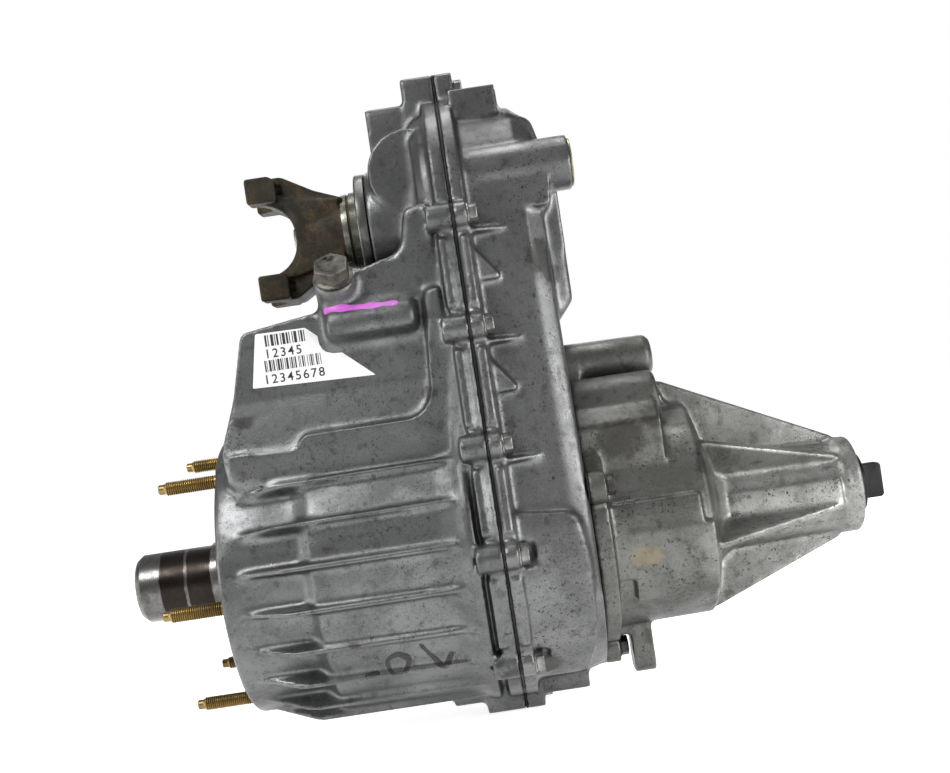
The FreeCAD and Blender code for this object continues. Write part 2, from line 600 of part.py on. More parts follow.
def front_case():
    sealed_face = SPLIT_X - SEALANT / 2
    drum = turned([(0, 0), (0, DRUM_RADIUS - 2), (2, DRUM_RADIUS), (DRUM_STEP_X, DRUM_RADIUS),
                   (DRUM_STEP_X + DRUM_STEP_RUN, DRUM_REAR_RADIUS),
                   (DRUM_END_X - 8, DRUM_REAR_RADIUS + 1.5), (DRUM_END_X + 2, DRUM_REAR_RADIUS + 4),
                   (DRUM_END_X + 8, CASE_MAIN_RADIUS + RIM), (CHAIN_WALL_X + 2, CASE_MAIN_RADIUS + RIM),
                   (CHAIN_WALL_X + 2, 0)])
    tub = tapered_belt(CHAIN_WALL_X - 4, CASE_MAIN_RADIUS - 5, CASE_FRONT_RADIUS - 5,
                       FRONT_RIM_X, CASE_MAIN_RADIUS, CASE_FRONT_RADIUS)
    tub = tub.fuse(belt(FRONT_RIM_X, sealed_face, CASE_MAIN_RADIUS, CASE_FRONT_RADIUS))
    rim = belt(FRONT_RIM_X + 6, sealed_face, CASE_MAIN_RADIUS + RIM, CASE_FRONT_RADIUS + RIM)
    front_boss = turned([(FRONT_BOSS_X, 0), (FRONT_BOSS_X, FRONT_BOSS_RADIUS - 1.5),
                         (FRONT_BOSS_X + 1.5, FRONT_BOSS_RADIUS), (DRUM_END_X - 4, FRONT_BOSS_RADIUS + 1),
                         (CHAIN_WALL_X, FRONT_BOSS_RADIUS + 9), (CHAIN_WALL_X, 0)], CENTRES)
    bulge = pin(Vector(DRUM_END_X + 3, BULGE_NEAR_Y, CENTRES + BULGE_RISE), AXIS_Y, -BULGE_NEAR_Y,
                BULGE_RADIUS)
    bulge = bulge.common(block(FRONT_BOSS_X, FRONT_RIM_X + 8, BULGE_NEAR_Y - 1, 0, CENTRES,
                               CENTRES + 2 * BULGE_RISE))
    boss_webs = [side_plate([(FRONT_BOSS_X + 8, CENTRES - FRONT_BOSS_RADIUS + 3, 0),
                             (CHAIN_WALL_X, CENTRES - CASE_FRONT_RADIUS + 10, 0),
                             (CHAIN_WALL_X, CENTRES, 0), (FRONT_BOSS_X + 8, CENTRES, 0)], y - 2.5, y + 2.5)
                 for y in (-26.0, 0.0, 26.0)]
    lugs = [top_lugs(DRUM_END_X - 24, CHAIN_WALL_X, FRONT_LUG_RISE, END_LUG_HALF),
            top_lugs(CHAIN_WALL_X - 6, sealed_face, END_LUG_RISE, END_LUG_HALF),
            bottom_lugs(DRUM_END_X - 23, CHAIN_WALL_X, FRONT_LUG_RISE, FOOT_HALF - 4),
            bottom_lugs(DRUM_END_X + 1, sealed_face, END_LUG_DROP, FOOT_HALF)]
    body = drum.fuse([tub, rim, front_boss, bulge, shift_block()] + boss_webs + lugs + drum_ribs()
                     + bolt_bosses(FRONT_RIM_X - 2, sealed_face) + side_pads(FRONT_RIM_X + 4, SPLIT_X - 7))
    start, width, _, outer = INPUT_BEARING
    seat = cylinder(-1, start + width, outer + SEAT_FIT)
    hub = turned([(FRONT_WALL - 1, 0), (FRONT_WALL - 1, outer + 9), (start + width + 4, outer + 7),
                  (start + width + 4, 0)])
    stud_bosses = [cylinder(FRONT_WALL - 1, STUD_DEPTH + 4, STUD_ROOT_RADIUS + STUD_BOSS_WALL, y, z)
                   for y, z in stud_places()]
    keep = hub.fuse(stud_bosses).common(cylinder(0, STUD_DEPTH + 10, DRUM_RADIUS - 1))
    room = turned([(FRONT_WALL, 0), (FRONT_WALL, DRUM_RADIUS - WALL - 4),
                   (FRONT_WALL + 6, DRUM_RADIUS - WALL),
                   (GEAR_X - 2, DRUM_RADIUS - WALL), (GEAR_X - 2, RING_RADIUS + SEAT_FIT),
                   (GEAR_X + GEAR_WIDTH + 2, RING_RADIUS + SEAT_FIT),
                   (GEAR_X + GEAR_WIDTH + 3, DRUM_REAR_RADIUS - WALL - 1),
                   (SPLIT_X + 1, DRUM_REAR_RADIUS - WALL - 1), (SPLIT_X + 1, 0)]).cut(keep)
    chain_room = belt(CHAIN_WALL_X + WALL, SPLIT_X + 1, CASE_MAIN_RADIUS - CASE_WALL,
                      CASE_FRONT_RADIUS - CASE_WALL)
    f_start, f_width, _, f_outer = FRONT_BEARING
    front_bores = [cylinder(FRONT_BOSS_X - 1, f_start + f_width + 1, f_outer + SEAT_FIT, 0, CENTRES),
                   cylinder(f_start, SPLIT_X, f_outer - 6, 0, CENTRES)]
    input_bores = [seat, cylinder(0, start + width + 6, outer - 5)]
    holes = [cylinder(-1, STUD_DEPTH, STUD_ROOT_RADIUS + THREAD_FIT, y, z) for y, z in stud_places()]
    holes += [cylinder(FRONT_RIM_X - 3, SPLIT_X + 1, BOLT_RADIUS + THREAD_FIT, y, z)
              for y, z in case_bolt_places()]
    return body.cut([room, chain_room] + shift_chamber() + front_bores + input_bores + holes)


def case_sealant():
    low, high = SPLIT_X - SEALANT / 2, SPLIT_X + SEALANT / 2
    outer = belt(low, high, CASE_MAIN_RADIUS + RIM - 0.4, CASE_FRONT_RADIUS + RIM - 0.4)
    inner = belt(low - 1, high + 1, CASE_MAIN_RADIUS - CASE_WALL + 0.5,
                 CASE_FRONT_RADIUS - CASE_WALL + 0.5)
    bosses = [cylinder(low, high, BOLT_BOSS_RADIUS - 0.4, y, z) for y, z in case_bolt_places()]
    holes = [cylinder(low - 1, high + 1, BOLT_RADIUS + BOLT_CLEARANCE, y, z)
             for y, z in case_bolt_places()]
    lugs = [top_lugs(low, high, END_LUG_RISE - 0.4, END_LUG_HALF - 0.4),
            bottom_lugs(low, high, END_LUG_DROP - 0.4, FOOT_HALF - 0.4)]
    return outer.fuse(bosses + lugs).cut([inner] + holes)


def rear_gussets():
    """Level webs from the rear case's side walls to its flange, under the bolts."""
    gussets = []
    for bolt_height in SIDE_BOLT_HEIGHTS:
        height = bolt_height - BOLT_BOSS_RADIUS - 2
        wall = belt_half_width(height, CASE_MAIN_RADIUS - 2, CASE_FRONT_RADIUS - 2)
        rim = belt_half_width(height, CASE_MAIN_RADIUS + RIM, CASE_FRONT_RADIUS + RIM)
        for side in (-1, 1):
            face = rounded_face([(REAR_RIM_END_X - 2, wall - 2, 0), (REAR_RIM_END_X - 2, rim, 0),
                                 (REAR_RIM_END_X + 5, rim - 1, 3), (REAR_FACE_X - 26, wall + 1, 0),
                                 (REAR_FACE_X - 26, wall - 2, 0)],
                                lambda u, v: Vector(u, side * v, height - 1.5))
            gussets.append(face.extrude(Vector(0, 0, 3)))
    return gussets


def corner_webs():
    """Three-cornered webs behind the flange, under the two upper side bolts."""
    webs = []
    for bolt_height in SIDE_BOLT_HEIGHTS[:2]:
        top = bolt_height - GUSSET_DROP
        wall = belt_half_width(top, CASE_MAIN_RADIUS, CASE_FRONT_RADIUS)
        corners = [(REAR_RIM_END_X - 2, top, 0), (REAR_RIM_END_X - 2, top - GUSSET_HEIGHT, 0),
                   (REAR_RIM_END_X + GUSSET_RUN, top - GUSSET_HEIGHT, 2)]
        for y0 in (-wall - RIM + 1, wall - 4):
            webs.append(side_plate(corners, y0, y0 + RIM + 3))
    return webs


def near_panel():
    """Raised panel of the rear case over the bottom of the chain, at -Y."""
    outer = CASE_MAIN_RADIUS + PANEL_RISE
    plate = side_plate([(REAR_RIM_END_X - 2, PANEL_TOP_Z, 0), (REAR_FACE_X - 9, PANEL_TOP_Z - 5, 9),
                        (REAR_FACE_X - 5, -15, 0), (REAR_FACE_X - 8, -70, 0),
                        (REAR_FACE_X - 16, PANEL_BOTTOM_Z, 9), (REAR_RIM_END_X - 2, PANEL_BOTTOM_Z, 0)],
                       -outer - 1, -20)
    return plate.common(cylinder(REAR_RIM_END_X - 3, REAR_FACE_X, outer))


def rear_case():
    sealed_face = SPLIT_X + SEALANT / 2
    wall_x = REAR_FACE_X - WALL
    rim = belt(sealed_face, REAR_RIM_END_X, CASE_MAIN_RADIUS + RIM, CASE_FRONT_RADIUS + RIM)
    tub = tapered_belt(REAR_RIM_END_X - 1, CASE_MAIN_RADIUS, CASE_FRONT_RADIUS,
                       REAR_FACE_X - 12, CASE_MAIN_RADIUS - 1.5, CASE_FRONT_RADIUS - 1.5)
    shoulder = tapered_belt(REAR_FACE_X - 12.5, CASE_MAIN_RADIUS - 1.5, CASE_FRONT_RADIUS - 1.5,
                            REAR_FACE_X, CASE_MAIN_RADIUS - 5, CASE_FRONT_RADIUS - 11)
    end_x = REAR_FACE_X + HOUSING_RISE
    housing = side_plate([(wall_x, RAIL_Z + 29, 0), (REAR_FACE_X + 2, RAIL_Z + 33, 5),
                          (end_x, RAIL_Z + 47, 6),
                          (end_x, CENTRES + 6.5, HOUSING_RISE), (REAR_FACE_X + 2, CENTRES + 55.5, 10),
                          (wall_x - 9, CENTRES + 64.5, 0)], -HOUSING_HALF, HOUSING_HALF)
    shelf = side_plate([(REAR_RIM_END_X - 1, CENTRES - 8, 0), (REAR_FACE_X + 6, CENTRES - 13, 5),
                        (REAR_FACE_X + 8, FILL_PLUG_Z, 0), (REAR_RIM_END_X - 1, FILL_PLUG_Z, 0)],
                       FILL_PLUG_Y - FILL_BOSS_RADIUS + 1.5, -HOUSING_HALF + 8)
    plug_boss = cylinder(REAR_RIM_END_X, FILL_PLUG_X, FILL_BOSS_RADIUS, FILL_PLUG_Y, FILL_PLUG_Z)
    lugs = [top_lugs(sealed_face, REAR_RIM_END_X + END_LUG_STEP, END_LUG_RISE, END_LUG_HALF),
            top_lugs(REAR_RIM_END_X, REAR_FACE_X - 18, FRONT_LUG_RISE + 3, END_LUG_HALF - 2),
            bottom_lugs(sealed_face, REAR_RIM_END_X + END_LUG_STEP, END_LUG_DROP, FOOT_HALF),
            bottom_lugs(REAR_RIM_END_X, REAR_FACE_X - 14, FRONT_LUG_RISE, FOOT_HALF - 4)]
    lugs.append(block(REAR_RIM_END_X - 1, REAR_FACE_X - 20, -NEAR_LUG_Y, -END_LUG_HALF + 4,
                      CENTRES + CASE_FRONT_RADIUS - 14, CENTRES + CASE_FRONT_RADIUS + 9))
    far_bosses = [pin(Vector(PLUG_X, belt_half_width(z, CASE_MAIN_RADIUS, CASE_FRONT_RADIUS) - 22, z),
                      AXIS_Y, 26, PLUG_RADIUS + 6) for z in PLUG_HEIGHTS]
    flange_pads = [cylinder(wall_x, REAR_FACE_X, BOLT_BOSS_RADIUS + 2, y, z)
                   for y, z in extension_bolt_places()]
    neck = cylinder(wall_x, REAR_FACE_X, EXTENSION_FLANGE_RADIUS)
    bosses = far_bosses + flange_pads + bolt_bosses(sealed_face, REAR_RIM_END_X)
    webs = corner_webs() + rear_gussets() + side_pads(SPLIT_X + 3, REAR_RIM_END_X - 1)
    body = rim.fuse([tub, shoulder, housing, shelf, plug_boss, neck, near_panel()] + lugs + bosses + webs)
    room = belt(sealed_face - 1, wall_x, CASE_MAIN_RADIUS - CASE_WALL, CASE_FRONT_RADIUS - CASE_WALL)
    bores = [cylinder(wall_x - 1, REAR_FACE_X + 1, PUMP_OPENING),
             cylinder(wall_x - 1, REAR_FACE_X + 1, RAIL_RADIUS + SEAT_FIT, 0, RAIL_Z),
             cylinder(wall_x - 1, FRONT_SHAFT_END_X + 1, NEEDLE_OUTER + SEAT_FIT, 0, CENTRES),
             cylinder(FILL_PLUG_X - 12, FILL_PLUG_X + 1, FILL_PLUG_RADIUS + THREAD_FIT,
                      FILL_PLUG_Y, FILL_PLUG_Z)]
    holes = [cylinder(sealed_face - 1, REAR_RIM_END_X + END_LUG_STEP + 8, BOLT_RADIUS + BOLT_CLEARANCE, y,
                      z)
             for y, z in case_bolt_places()]
    holes += [cylinder(wall_x + 0.5, REAR_FACE_X + 1, BOLT_RADIUS + THREAD_FIT, y, z)
              for y, z in extension_bolt_places()]
    spot_faces = [cylinder(bolt_seat(z), bolt_seat(z) + BOLT_HEAD_HEIGHT + 5, BOLT_HEAD_ACROSS * 0.66, y, z)
                  for y, z in case_bolt_places()]
    plug_holes = [pin(Vector(PLUG_X, 40, z), AXIS_Y, 90, PLUG_RADIUS + THREAD_FIT)
                  for z in PLUG_HEIGHTS]
    vent = [pin(vent_base(), AXIS_Z, 40, VENT_RADIUS + SEAT_FIT)]
    return body.cut([room] + bores + holes + spot_faces + plug_holes + vent)


# --- plugs and vent -----------------------------------------------------------------------------


def cup_plug():
    """Threaded plug with a hexagon socket in the end of its boss."""
    body = cylinder(FILL_PLUG_X - 10, FILL_PLUG_X, FILL_PLUG_RADIUS, FILL_PLUG_Y, FILL_PLUG_Z)
    rim = ring(FILL_PLUG_X, FILL_PLUG_X + 1.6, FILL_PLUG_RADIUS + 3, FILL_PLUG_RADIUS - 2,
               FILL_PLUG_Y, FILL_PLUG_Z)
    socket = hexagon(10, 8, Vector(FILL_PLUG_X - 6, FILL_PLUG_Y, FILL_PLUG_Z))
    return body.fuse(rim).cut(socket)


def oil_plugs():
    """Fill and drain plugs on the lever side of the rear case."""
    plugs = []
    for z in PLUG_HEIGHTS:
        seat = belt_half_width(z, CASE_MAIN_RADIUS, CASE_FRONT_RADIUS) + 4
        plugs.append(hex_bolt(Vector(PLUG_X, seat, z), AXIS_Y, 19, 9, PLUG_RADIUS, 20))
    return Part.makeCompound(plugs)


def breather_tube():
    base = vent_base()
    stem = pin(base + AXIS_Z * 3, AXIS_Z, 22, VENT_RADIUS)
    barb = pin(base + AXIS_Z * 19, AXIS_Z, 4, VENT_RADIUS + 1.2)
    bore = pin(base, AXIS_Z, 30, VENT_RADIUS - 2)
    return stem.fuse(barb).cut(bore)


# --- extension housing --------------------------------------------------------------------------
def extension_face():
    return REAR_FACE_X + SEALANT


def extension_outline(x0, x1, inset=0.0):
    disc = cylinder(x0, x1, EXTENSION_FLANGE_RADIUS - inset)
    ears = [cylinder(x0, x1, BOLT_BOSS_RADIUS + 2 - inset, y, z) for y, z in extension_bolt_places()]
    rail = cylinder(x0, x1, RAIL_RADIUS + 9 - inset, 0, RAIL_Z)
    neck = block(x0, x1, -RAIL_RADIUS - 9 + inset, RAIL_RADIUS + 9 - inset,
                 EXTENSION_FLANGE_RADIUS - 10, RAIL_Z)
    return disc.fuse(ears + [rail, neck])


def extension_gasket():
    sheet = extension_outline(REAR_FACE_X, extension_face(), 0.4)
    holes = [cylinder(REAR_FACE_X - 1, extension_face() + 1, BOLT_RADIUS + BOLT_CLEARANCE, y, z)
             for y, z in extension_bolt_places()]
    holes.append(cylinder(REAR_FACE_X - 1, extension_face() + 1, BARREL_RADIUS - WALL))
    holes.append(cylinder(REAR_FACE_X - 1, extension_face() + 1, RAIL_RADIUS + SEAT_FIT, 0, RAIL_Z))
    return sheet.cut(holes)


def tail_fin():
    """One tapered web from the barrel down to the tail tube, at -Y."""
    half = FIN_THICKNESS / 2
    corners = [(BARREL_END_X - 6, TAIL_RADIUS - 6, 0), (BARREL_END_X - 6, BARREL_RADIUS - 4, 0),
               (BARREL_END_X + 2, BARREL_RADIUS - 4, 3), (FIN_END_X, TAIL_RADIUS + 3, 6),
               (FIN_END_X + 4, TAIL_RADIUS - 6, 0)]
    face = rounded_face(corners, lambda u, v: Vector(u, -v, -half))
    return face.extrude(Vector(0, 0, FIN_THICKNESS))


def extension_housing():
    face = extension_face()
    start, width, _, outer = OUTPUT_BEARING
    barrel = turned([(face, 0), (face, BARREL_RADIUS), (BARREL_END_X - 3, BARREL_RADIUS - 1),
                     (BARREL_END_X, BARREL_RADIUS - 4), (BARREL_END_X + 3, BARREL_RADIUS - 14),
                     (BARREL_END_X + 9, TAIL_RADIUS + 8), (BARREL_END_X + 18, TAIL_RADIUS + 1),
                     (TAIL_END_X - 16, TAIL_RADIUS - 1), (TAIL_END_X - 12, TAIL_RADIUS + 1),
                     (TAIL_END_X - 1, TAIL_RADIUS + 1), (TAIL_END_X, TAIL_RADIUS), (TAIL_END_X, 0)])
    fins = around(tail_fin(), [-(FIN_PHASE + i * 360 / FIN_COUNT) for i in range(FIN_COUNT)])
    flange = extension_outline(face, face + EXTENSION_FLANGE)
    rail_boss = turned([(face, 0), (face, RAIL_RADIUS + 9), (RAIL_END_X + 5, RAIL_RADIUS + 8),
                        (RAIL_END_X + 9, RAIL_RADIUS + 4), (RAIL_END_X + 9, 0)], RAIL_Z)
    rail_web = side_plate([(face, BARREL_RADIUS - 6, 0), (face, RAIL_Z, 0), (RAIL_END_X, RAIL_Z, 0),
                           (RAIL_END_X + 12, BARREL_RADIUS + 4, 6),
                           (BARREL_END_X - 6, BARREL_RADIUS - 6, 0)],
                          -8, 8)
    top_web = side_plate([(RAIL_END_X - 4, BARREL_RADIUS - 6, 0), (RAIL_END_X + 8, BARREL_RADIUS + 20, 4),
                          (BARREL_END_X + 10, BARREL_RADIUS + 2, 12),
                          (BARREL_END_X + 60, TAIL_RADIUS + 10, 0),
                          (BARREL_END_X + 60, TAIL_RADIUS - 5, 0), (BARREL_END_X - 8, TAIL_RADIUS, 0)],
                         -FIN_THICKNESS / 2, FIN_THICKNESS / 2)
    shoulder = end_plate([(SHOULDER_Y + 4, 34, 0), (SHOULDER_Y, SHOULDER_Z - 14, 6),
                          (SHOULDER_Y + 14, SHOULDER_Z, 9), (0, SHOULDER_Z - 3, 0), (0, 34, 0)],
                         face, SHOULDER_END_X)
    saddle = cylinder(face, SHOULDER_END_X + 4, SADDLE_BULGE, SHOULDER_Y / 2, SHOULDER_Z)
    band = ring(face + 10, BARREL_END_X - 9, BARREL_RADIUS + BAND_RISE, BARREL_RADIUS - WALL / 2)
    band = band.common(block(face, BARREL_END_X, -BARREL_RADIUS - WALL, 0, -36, 18))
    low_ear = end_plate([(-15, -84, 0), (-13, -116, 8), (13, -116, 8), (15, -84, 0), (0, -70, 0)],
                        face + EXTENSION_FLANGE + 9, face + EXTENSION_FLANGE + 25)
    low_web = end_plate([(-15, -70, 0), (-15, -86, 3), (15, -86, 3), (15, -70, 0)],
                        face, face + EXTENSION_FLANGE + 25)
    sensor_boss = pin(Vector(TONE_X + TONE_WIDTH / 2, TAIL_RADIUS, 0), AXIS_Y, SENSOR_SEAT_Y - TAIL_RADIUS,
                      SENSOR_RADIUS + 6)
    body = barrel.fuse(fins + [flange, rail_boss, rail_web, top_web, shoulder, saddle, band, low_ear,
                               low_web,
                               sensor_boss])
    hub_radius = outer + 8
    hollow = ring(face - 1, BARREL_END_X - 9, BARREL_RADIUS - WALL, hub_radius)
    front_room = cylinder(face - 1, start - 3, hub_radius + 1)
    seat = cylinder(start - 4, start + width, outer + SEAT_FIT)
    tone_room = cylinder(start + width - 1, BARREL_END_X + 2, outer - 3)
    tail_bore = cylinder(BARREL_END_X, TAIL_END_X + 1, BUSHING_RADIUS + BUSHING_WALL + SEAT_FIT)
    seal_seat = cylinder(TAIL_END_X - TAIL_SEAL_DEPTH, TAIL_END_X + 1, SEAL_OUTER + SEAT_FIT)
    rail_bore = cylinder(face - 1, RAIL_END_X, RAIL_RADIUS + SEAT_FIT, 0, RAIL_Z)
    sensor_bore = pin(Vector(TONE_X + TONE_WIDTH / 2, 20, 0), AXIS_Y, 90, SENSOR_RADIUS + SEAT_FIT)
    holes = [cylinder(face - 1, face + EXTENSION_FLANGE + 1, BOLT_RADIUS + BOLT_CLEARANCE, y, z)
             for y, z in extension_bolt_places()]
    reliefs = [cylinder(face + EXTENSION_FLANGE, face + EXTENSION_FLANGE + 24, BOLT_HEAD_ACROSS * 0.66, y,
                        z)
               for y, z in extension_bolt_places() if z > -EXTENSION_BOLT_CIRCLE + 1]
    return body.cut([hollow, front_room, seat, tone_room, tail_bore, seal_seat, rail_bore, sensor_bore]
                    + holes + reliefs)




def speed_sensor():
    x = TONE_X + TONE_WIDTH / 2
    probe = pin(Vector(x, TONE_RADIUS + 0.8, 0), AXIS_Y, SENSOR_SEAT_Y - TONE_RADIUS - 0.8, SENSOR_RADIUS)
    head = pin(Vector(x, SENSOR_SEAT_Y, 0), AXIS_Y, 12, SENSOR_RADIUS + 3)
    socket = block(x - 7, x + 7, SENSOR_SEAT_Y + 8, SENSOR_SEAT_Y + 20, -9, 9)
    recess = block(x - 5, x + 5, SENSOR_SEAT_Y + 12, SENSOR_SEAT_Y + 21, -7, 7)
    return probe.fuse([head, socket]).cut(recess)


def tail_bushing():
    return ring(BUSHING_X, BUSHING_X + BUSHING_LENGTH, BUSHING_RADIUS + BUSHING_WALL, BUSHING_RADIUS)


def tail_seal():
    start = TAIL_END_X - TAIL_SEAL_DEPTH
    lip = BUSHING_RADIUS + 0.1
    return turned([(start, lip + 3), (start, SEAL_OUTER), (TAIL_END_X, SEAL_OUTER),
                   (TAIL_END_X + 1.2, SEAL_OUTER - 0.6),
                   (TAIL_END_X + 1.2, lip + 1.4), (TAIL_END_X - 2, lip), (start + 3, lip)])


def shipping_plug():
    """Push-in plug that closes the tail inside the seal's lip, with a grip to pull it by."""
    radius = BUSHING_RADIUS + 0.05
    start = BUSHING_X + BUSHING_LENGTH + 1
    mouth = TAIL_END_X + 6
    cup = turned([(start, radius - 1.4), (start + 2, radius), (mouth, radius), (mouth, 0),
                  (mouth - 4, 0), (mouth - 4, radius - 3), (start, radius - 3)])
    grip = side_plate([(mouth - 1, -PLUG_GRIP_HALF, 0), (mouth - 1, PLUG_GRIP_HALF, 0),
                       (mouth + 17, PLUG_GRIP_HALF, 3), (mouth + 17, -PLUG_GRIP_HALF, 3)], -5, 5)
    return cup.fuse(grip)


# --- fasteners ----------------------------------------------------------------------------------
def mounting_studs():
    profile = [(-STUD_REACH, 0), (-STUD_REACH, STUD_RADIUS - 1.6), (-STUD_REACH + 4, STUD_RADIUS - 1.4),
               (-STUD_REACH + 5.5, STUD_RADIUS), (0, STUD_RADIUS), (0, STUD_ROOT_RADIUS),
               (STUD_DEPTH - 1, STUD_ROOT_RADIUS), (STUD_DEPTH - 1, 0)]
    studs = []
    for y, z in stud_places():
        stud = turned(profile, z)
        stud.translate(Vector(0, y, 0))
        studs.append(stud)
    return Part.makeCompound(studs)


def case_bolts():
    bolts = []
    for y, z in case_bolt_places():
        seat = Vector(bolt_seat(z), y, z)
        length = seat.x - FRONT_RIM_X - 2
        bolts.append(hex_bolt(seat, AXIS_X, BOLT_HEAD_ACROSS, BOLT_HEAD_HEIGHT, BOLT_RADIUS, length))
    return Part.makeCompound(bolts)


def extension_bolts():
    seat = extension_face() + EXTENSION_FLANGE
    return Part.makeCompound([
        hex_bolt(Vector(seat, y, z), AXIS_X, BOLT_HEAD_ACROSS, BOLT_HEAD_HEIGHT, BOLT_RADIUS,
                 EXTENSION_FLANGE + SEALANT + WALL - 1) for y, z in extension_bolt_places()])


# --- rolling bearings and seals -----------------------------------------------------------------


def bearing_sizes(bearing):
    start, width, inner, outer = bearing
    ball = (outer - inner) * 0.26
    return start, start + width, inner, outer, (inner + outer) / 2, ball, start + width / 2


def bearing_outer(bearing, z=0.0):
    x0, x1, _, outer, mid, ball, centre = bearing_sizes(bearing)
    lip, groove = mid + ball * 0.55, mid + ball + RUNNING_FIT
    half = ball + RUNNING_FIT
    return turned([(x0, lip), (x0, outer), (x1, outer), (x1, lip), (centre + half, lip),
                   (centre + half * 0.5, groove), (centre - half * 0.5, groove), (centre - half, lip)], z)


def bearing_inner(bearing, z=0.0):
    x0, x1, inner, _, mid, ball, centre = bearing_sizes(bearing)
    lip, groove = mid - ball * 0.55, mid - ball - RUNNING_FIT
    half = ball + RUNNING_FIT
    bore = inner + SEAT_FIT
    return turned([(x0, bore), (x0, lip), (centre - half, lip), (centre - half * 0.5, groove),
                   (centre + half * 0.5, groove), (centre + half, lip), (x1, lip), (x1, bore)], z)


def bearing_balls(bearing, z=0.0):
    """Balls and the cage that spaces them."""
    _, _, _, _, mid, ball, centre = bearing_sizes(bearing)
    cage = ring(centre - ball * 0.75, centre + ball * 1.25, mid + 1.2, mid - 1.2)
    balls, pockets = [], []
    for i in range(BALLS):
        angle = 2 * math.pi * i / BALLS
        outward = Vector(0, math.cos(angle), math.sin(angle))
        balls.append(Part.makeSphere(ball, Vector(centre, 0, 0) + outward * mid, AXIS_X))
        pockets.append(pin(Vector(centre, 0, 0) + outward * (mid - 3), outward, 6, ball + RUNNING_FIT))
    group = Part.makeCompound([cage.cut(pockets)] + balls)
    group.translate(Vector(0, 0, z))
    return group


def needle_bearing():
    return ring(NEEDLE_X, NEEDLE_X + 14, NEEDLE_OUTER, FRONT_JOURNAL + RUNNING_FIT, 0, CENTRES)


def lip_seal(x0, x1, outer, shaft, z=0.0):
    """Oil seal: a case, and a lip that turns in to the shaft."""
    lip = shaft + RUNNING_FIT
    return turned([(x0, lip + 2), (x0, outer), (x1, outer), (x1, outer - 2), (x0 + 2.5, outer - 2),
                   (x0 + 2.5, lip + 3), (x1 - 1, lip + 1.5), (x1 - 1, lip), (x0 + 1.5, lip)], z)


# --- input and planetary gears ------------------------------------------------------------------
def input_gear():
    """Hollow input shaft with the sun gear at its rear end."""
    start, width, bore, _ = INPUT_BEARING
    gear_end = GEAR_X + GEAR_WIDTH
    body = turned([(INPUT_TIP_X, 0), (INPUT_TIP_X, INPUT_RADIUS - 3), (INPUT_TIP_X + 4, INPUT_RADIUS),
                   (INPUT_COLLAR_X, INPUT_RADIUS), (INPUT_COLLAR_X, INPUT_COLLAR_RADIUS - 0.5),
                   (INPUT_COLLAR_X + 0.5, INPUT_COLLAR_RADIUS), (start, INPUT_COLLAR_RADIUS),
                   (start, bore), (start + width, bore),
                   (start + width, bore + 6), (start + width + 5, bore + 6),
                   (start + width + 8, INPUT_NECK_RADIUS),
                   (GEAR_X, INPUT_NECK_RADIUS), (GEAR_X, 0)])
    pitch_arc = math.pi * MODULE / 2
    sun = toothed(GEAR_X, gear_end, involute_profile(SUN_TEETH, 0.9 * MODULE, 1.2 * MODULE,
                                                     pitch_arc - BACKLASH / 2), SUN_TEETH)
    spline = toothed(INPUT_TIP_X - 1, INPUT_COLLAR_X, spline_profile(INPUT_BORE, 2.2, 22), 22)
    mouth = cylinder(INPUT_TIP_X - 1, INPUT_TIP_X + 6, INPUT_BORE)
    pilot = cylinder(MAIN_START_X - 2, GEAR_X + 14, PILOT_RADIUS + RUNNING_FIT)
    relief = cylinder(GEAR_X + 12, gear_end + 1, DOG_RADIUS - DOG_DEPTH + SPLINE_FIT)
    dogs = toothed(GEAR_X + 12, gear_end + 1, spline_profile(DOG_RADIUS, DOG_DEPTH, DOG_COUNT, SPLINE_FIT),
                   DOG_COUNT)
    return body.fuse(sun).cut([spline, mouth, pilot, relief, dogs])




def annulus_gear():
    pitch_arc = math.pi * MODULE / 2
    gap = involute_profile(RING_TEETH, 1.25 * MODULE, 0.8 * MODULE, pitch_arc + BACKLASH / 2)
    blank = cylinder(GEAR_X, GEAR_X + GEAR_WIDTH, RING_RADIUS)
    return blank.cut(toothed(GEAR_X - 1, GEAR_X + GEAR_WIDTH + 1, gap, RING_TEETH))


def planet_gear(index):
    """Planet at its place round the sun, turned so that its teeth mesh with both gears."""
    place = 2 * math.pi * index / PLANETS
    mesh = place + math.pi + (SUN_TEETH * place - math.pi) / PLANET_TEETH
    profile = involute_profile(PLANET_TEETH, 0.9 * MODULE, 1.2 * MODULE,
                               math.pi * MODULE / 2 - BACKLASH / 2)
    gear = toothed(GEAR_X + 1, GEAR_X + GEAR_WIDTH - 1, profile, PLANET_TEETH, mesh)
    gear = gear.cut(cylinder(GEAR_X, GEAR_X + GEAR_WIDTH, PLANET_PIN_RADIUS + RUNNING_FIT))
    gear.translate(Vector(0, PLANET_CIRCLE * math.cos(place), PLANET_CIRCLE * math.sin(place)))
    return gear


def planet_carrier():
    """Two plates joined by bridges and by the pins that the planets turn on."""
    front0, rear0 = GEAR_X - PLATE_THICKNESS, GEAR_X + GEAR_WIDTH
    outer = PLANET_CIRCLE + PLANET_PIN_RADIUS + 6
    front = ring(front0, GEAR_X, outer, INPUT_NECK_RADIUS + SIDE_GAP)
    rear = ring(rear0, rear0 + PLATE_THICKNESS, outer, DOG_RADIUS + 8)
    pieces = [rear]
    for i in range(PLANETS):
        angle = 2 * math.pi * i / PLANETS
        y, z = PLANET_CIRCLE * math.cos(angle), PLANET_CIRCLE * math.sin(angle)
        pieces.append(cylinder(front0, rear0 + PLATE_THICKNESS, PLANET_PIN_RADIUS, y, z))
        bridge = block(front0, rear0 + PLATE_THICKNESS, 57, outer - 2, -12, 12)
        bridge.rotate(Vector(), AXIS_X, math.degrees(angle) + 180 / PLANETS)
        pieces.append(bridge)
    return front.fuse(pieces)


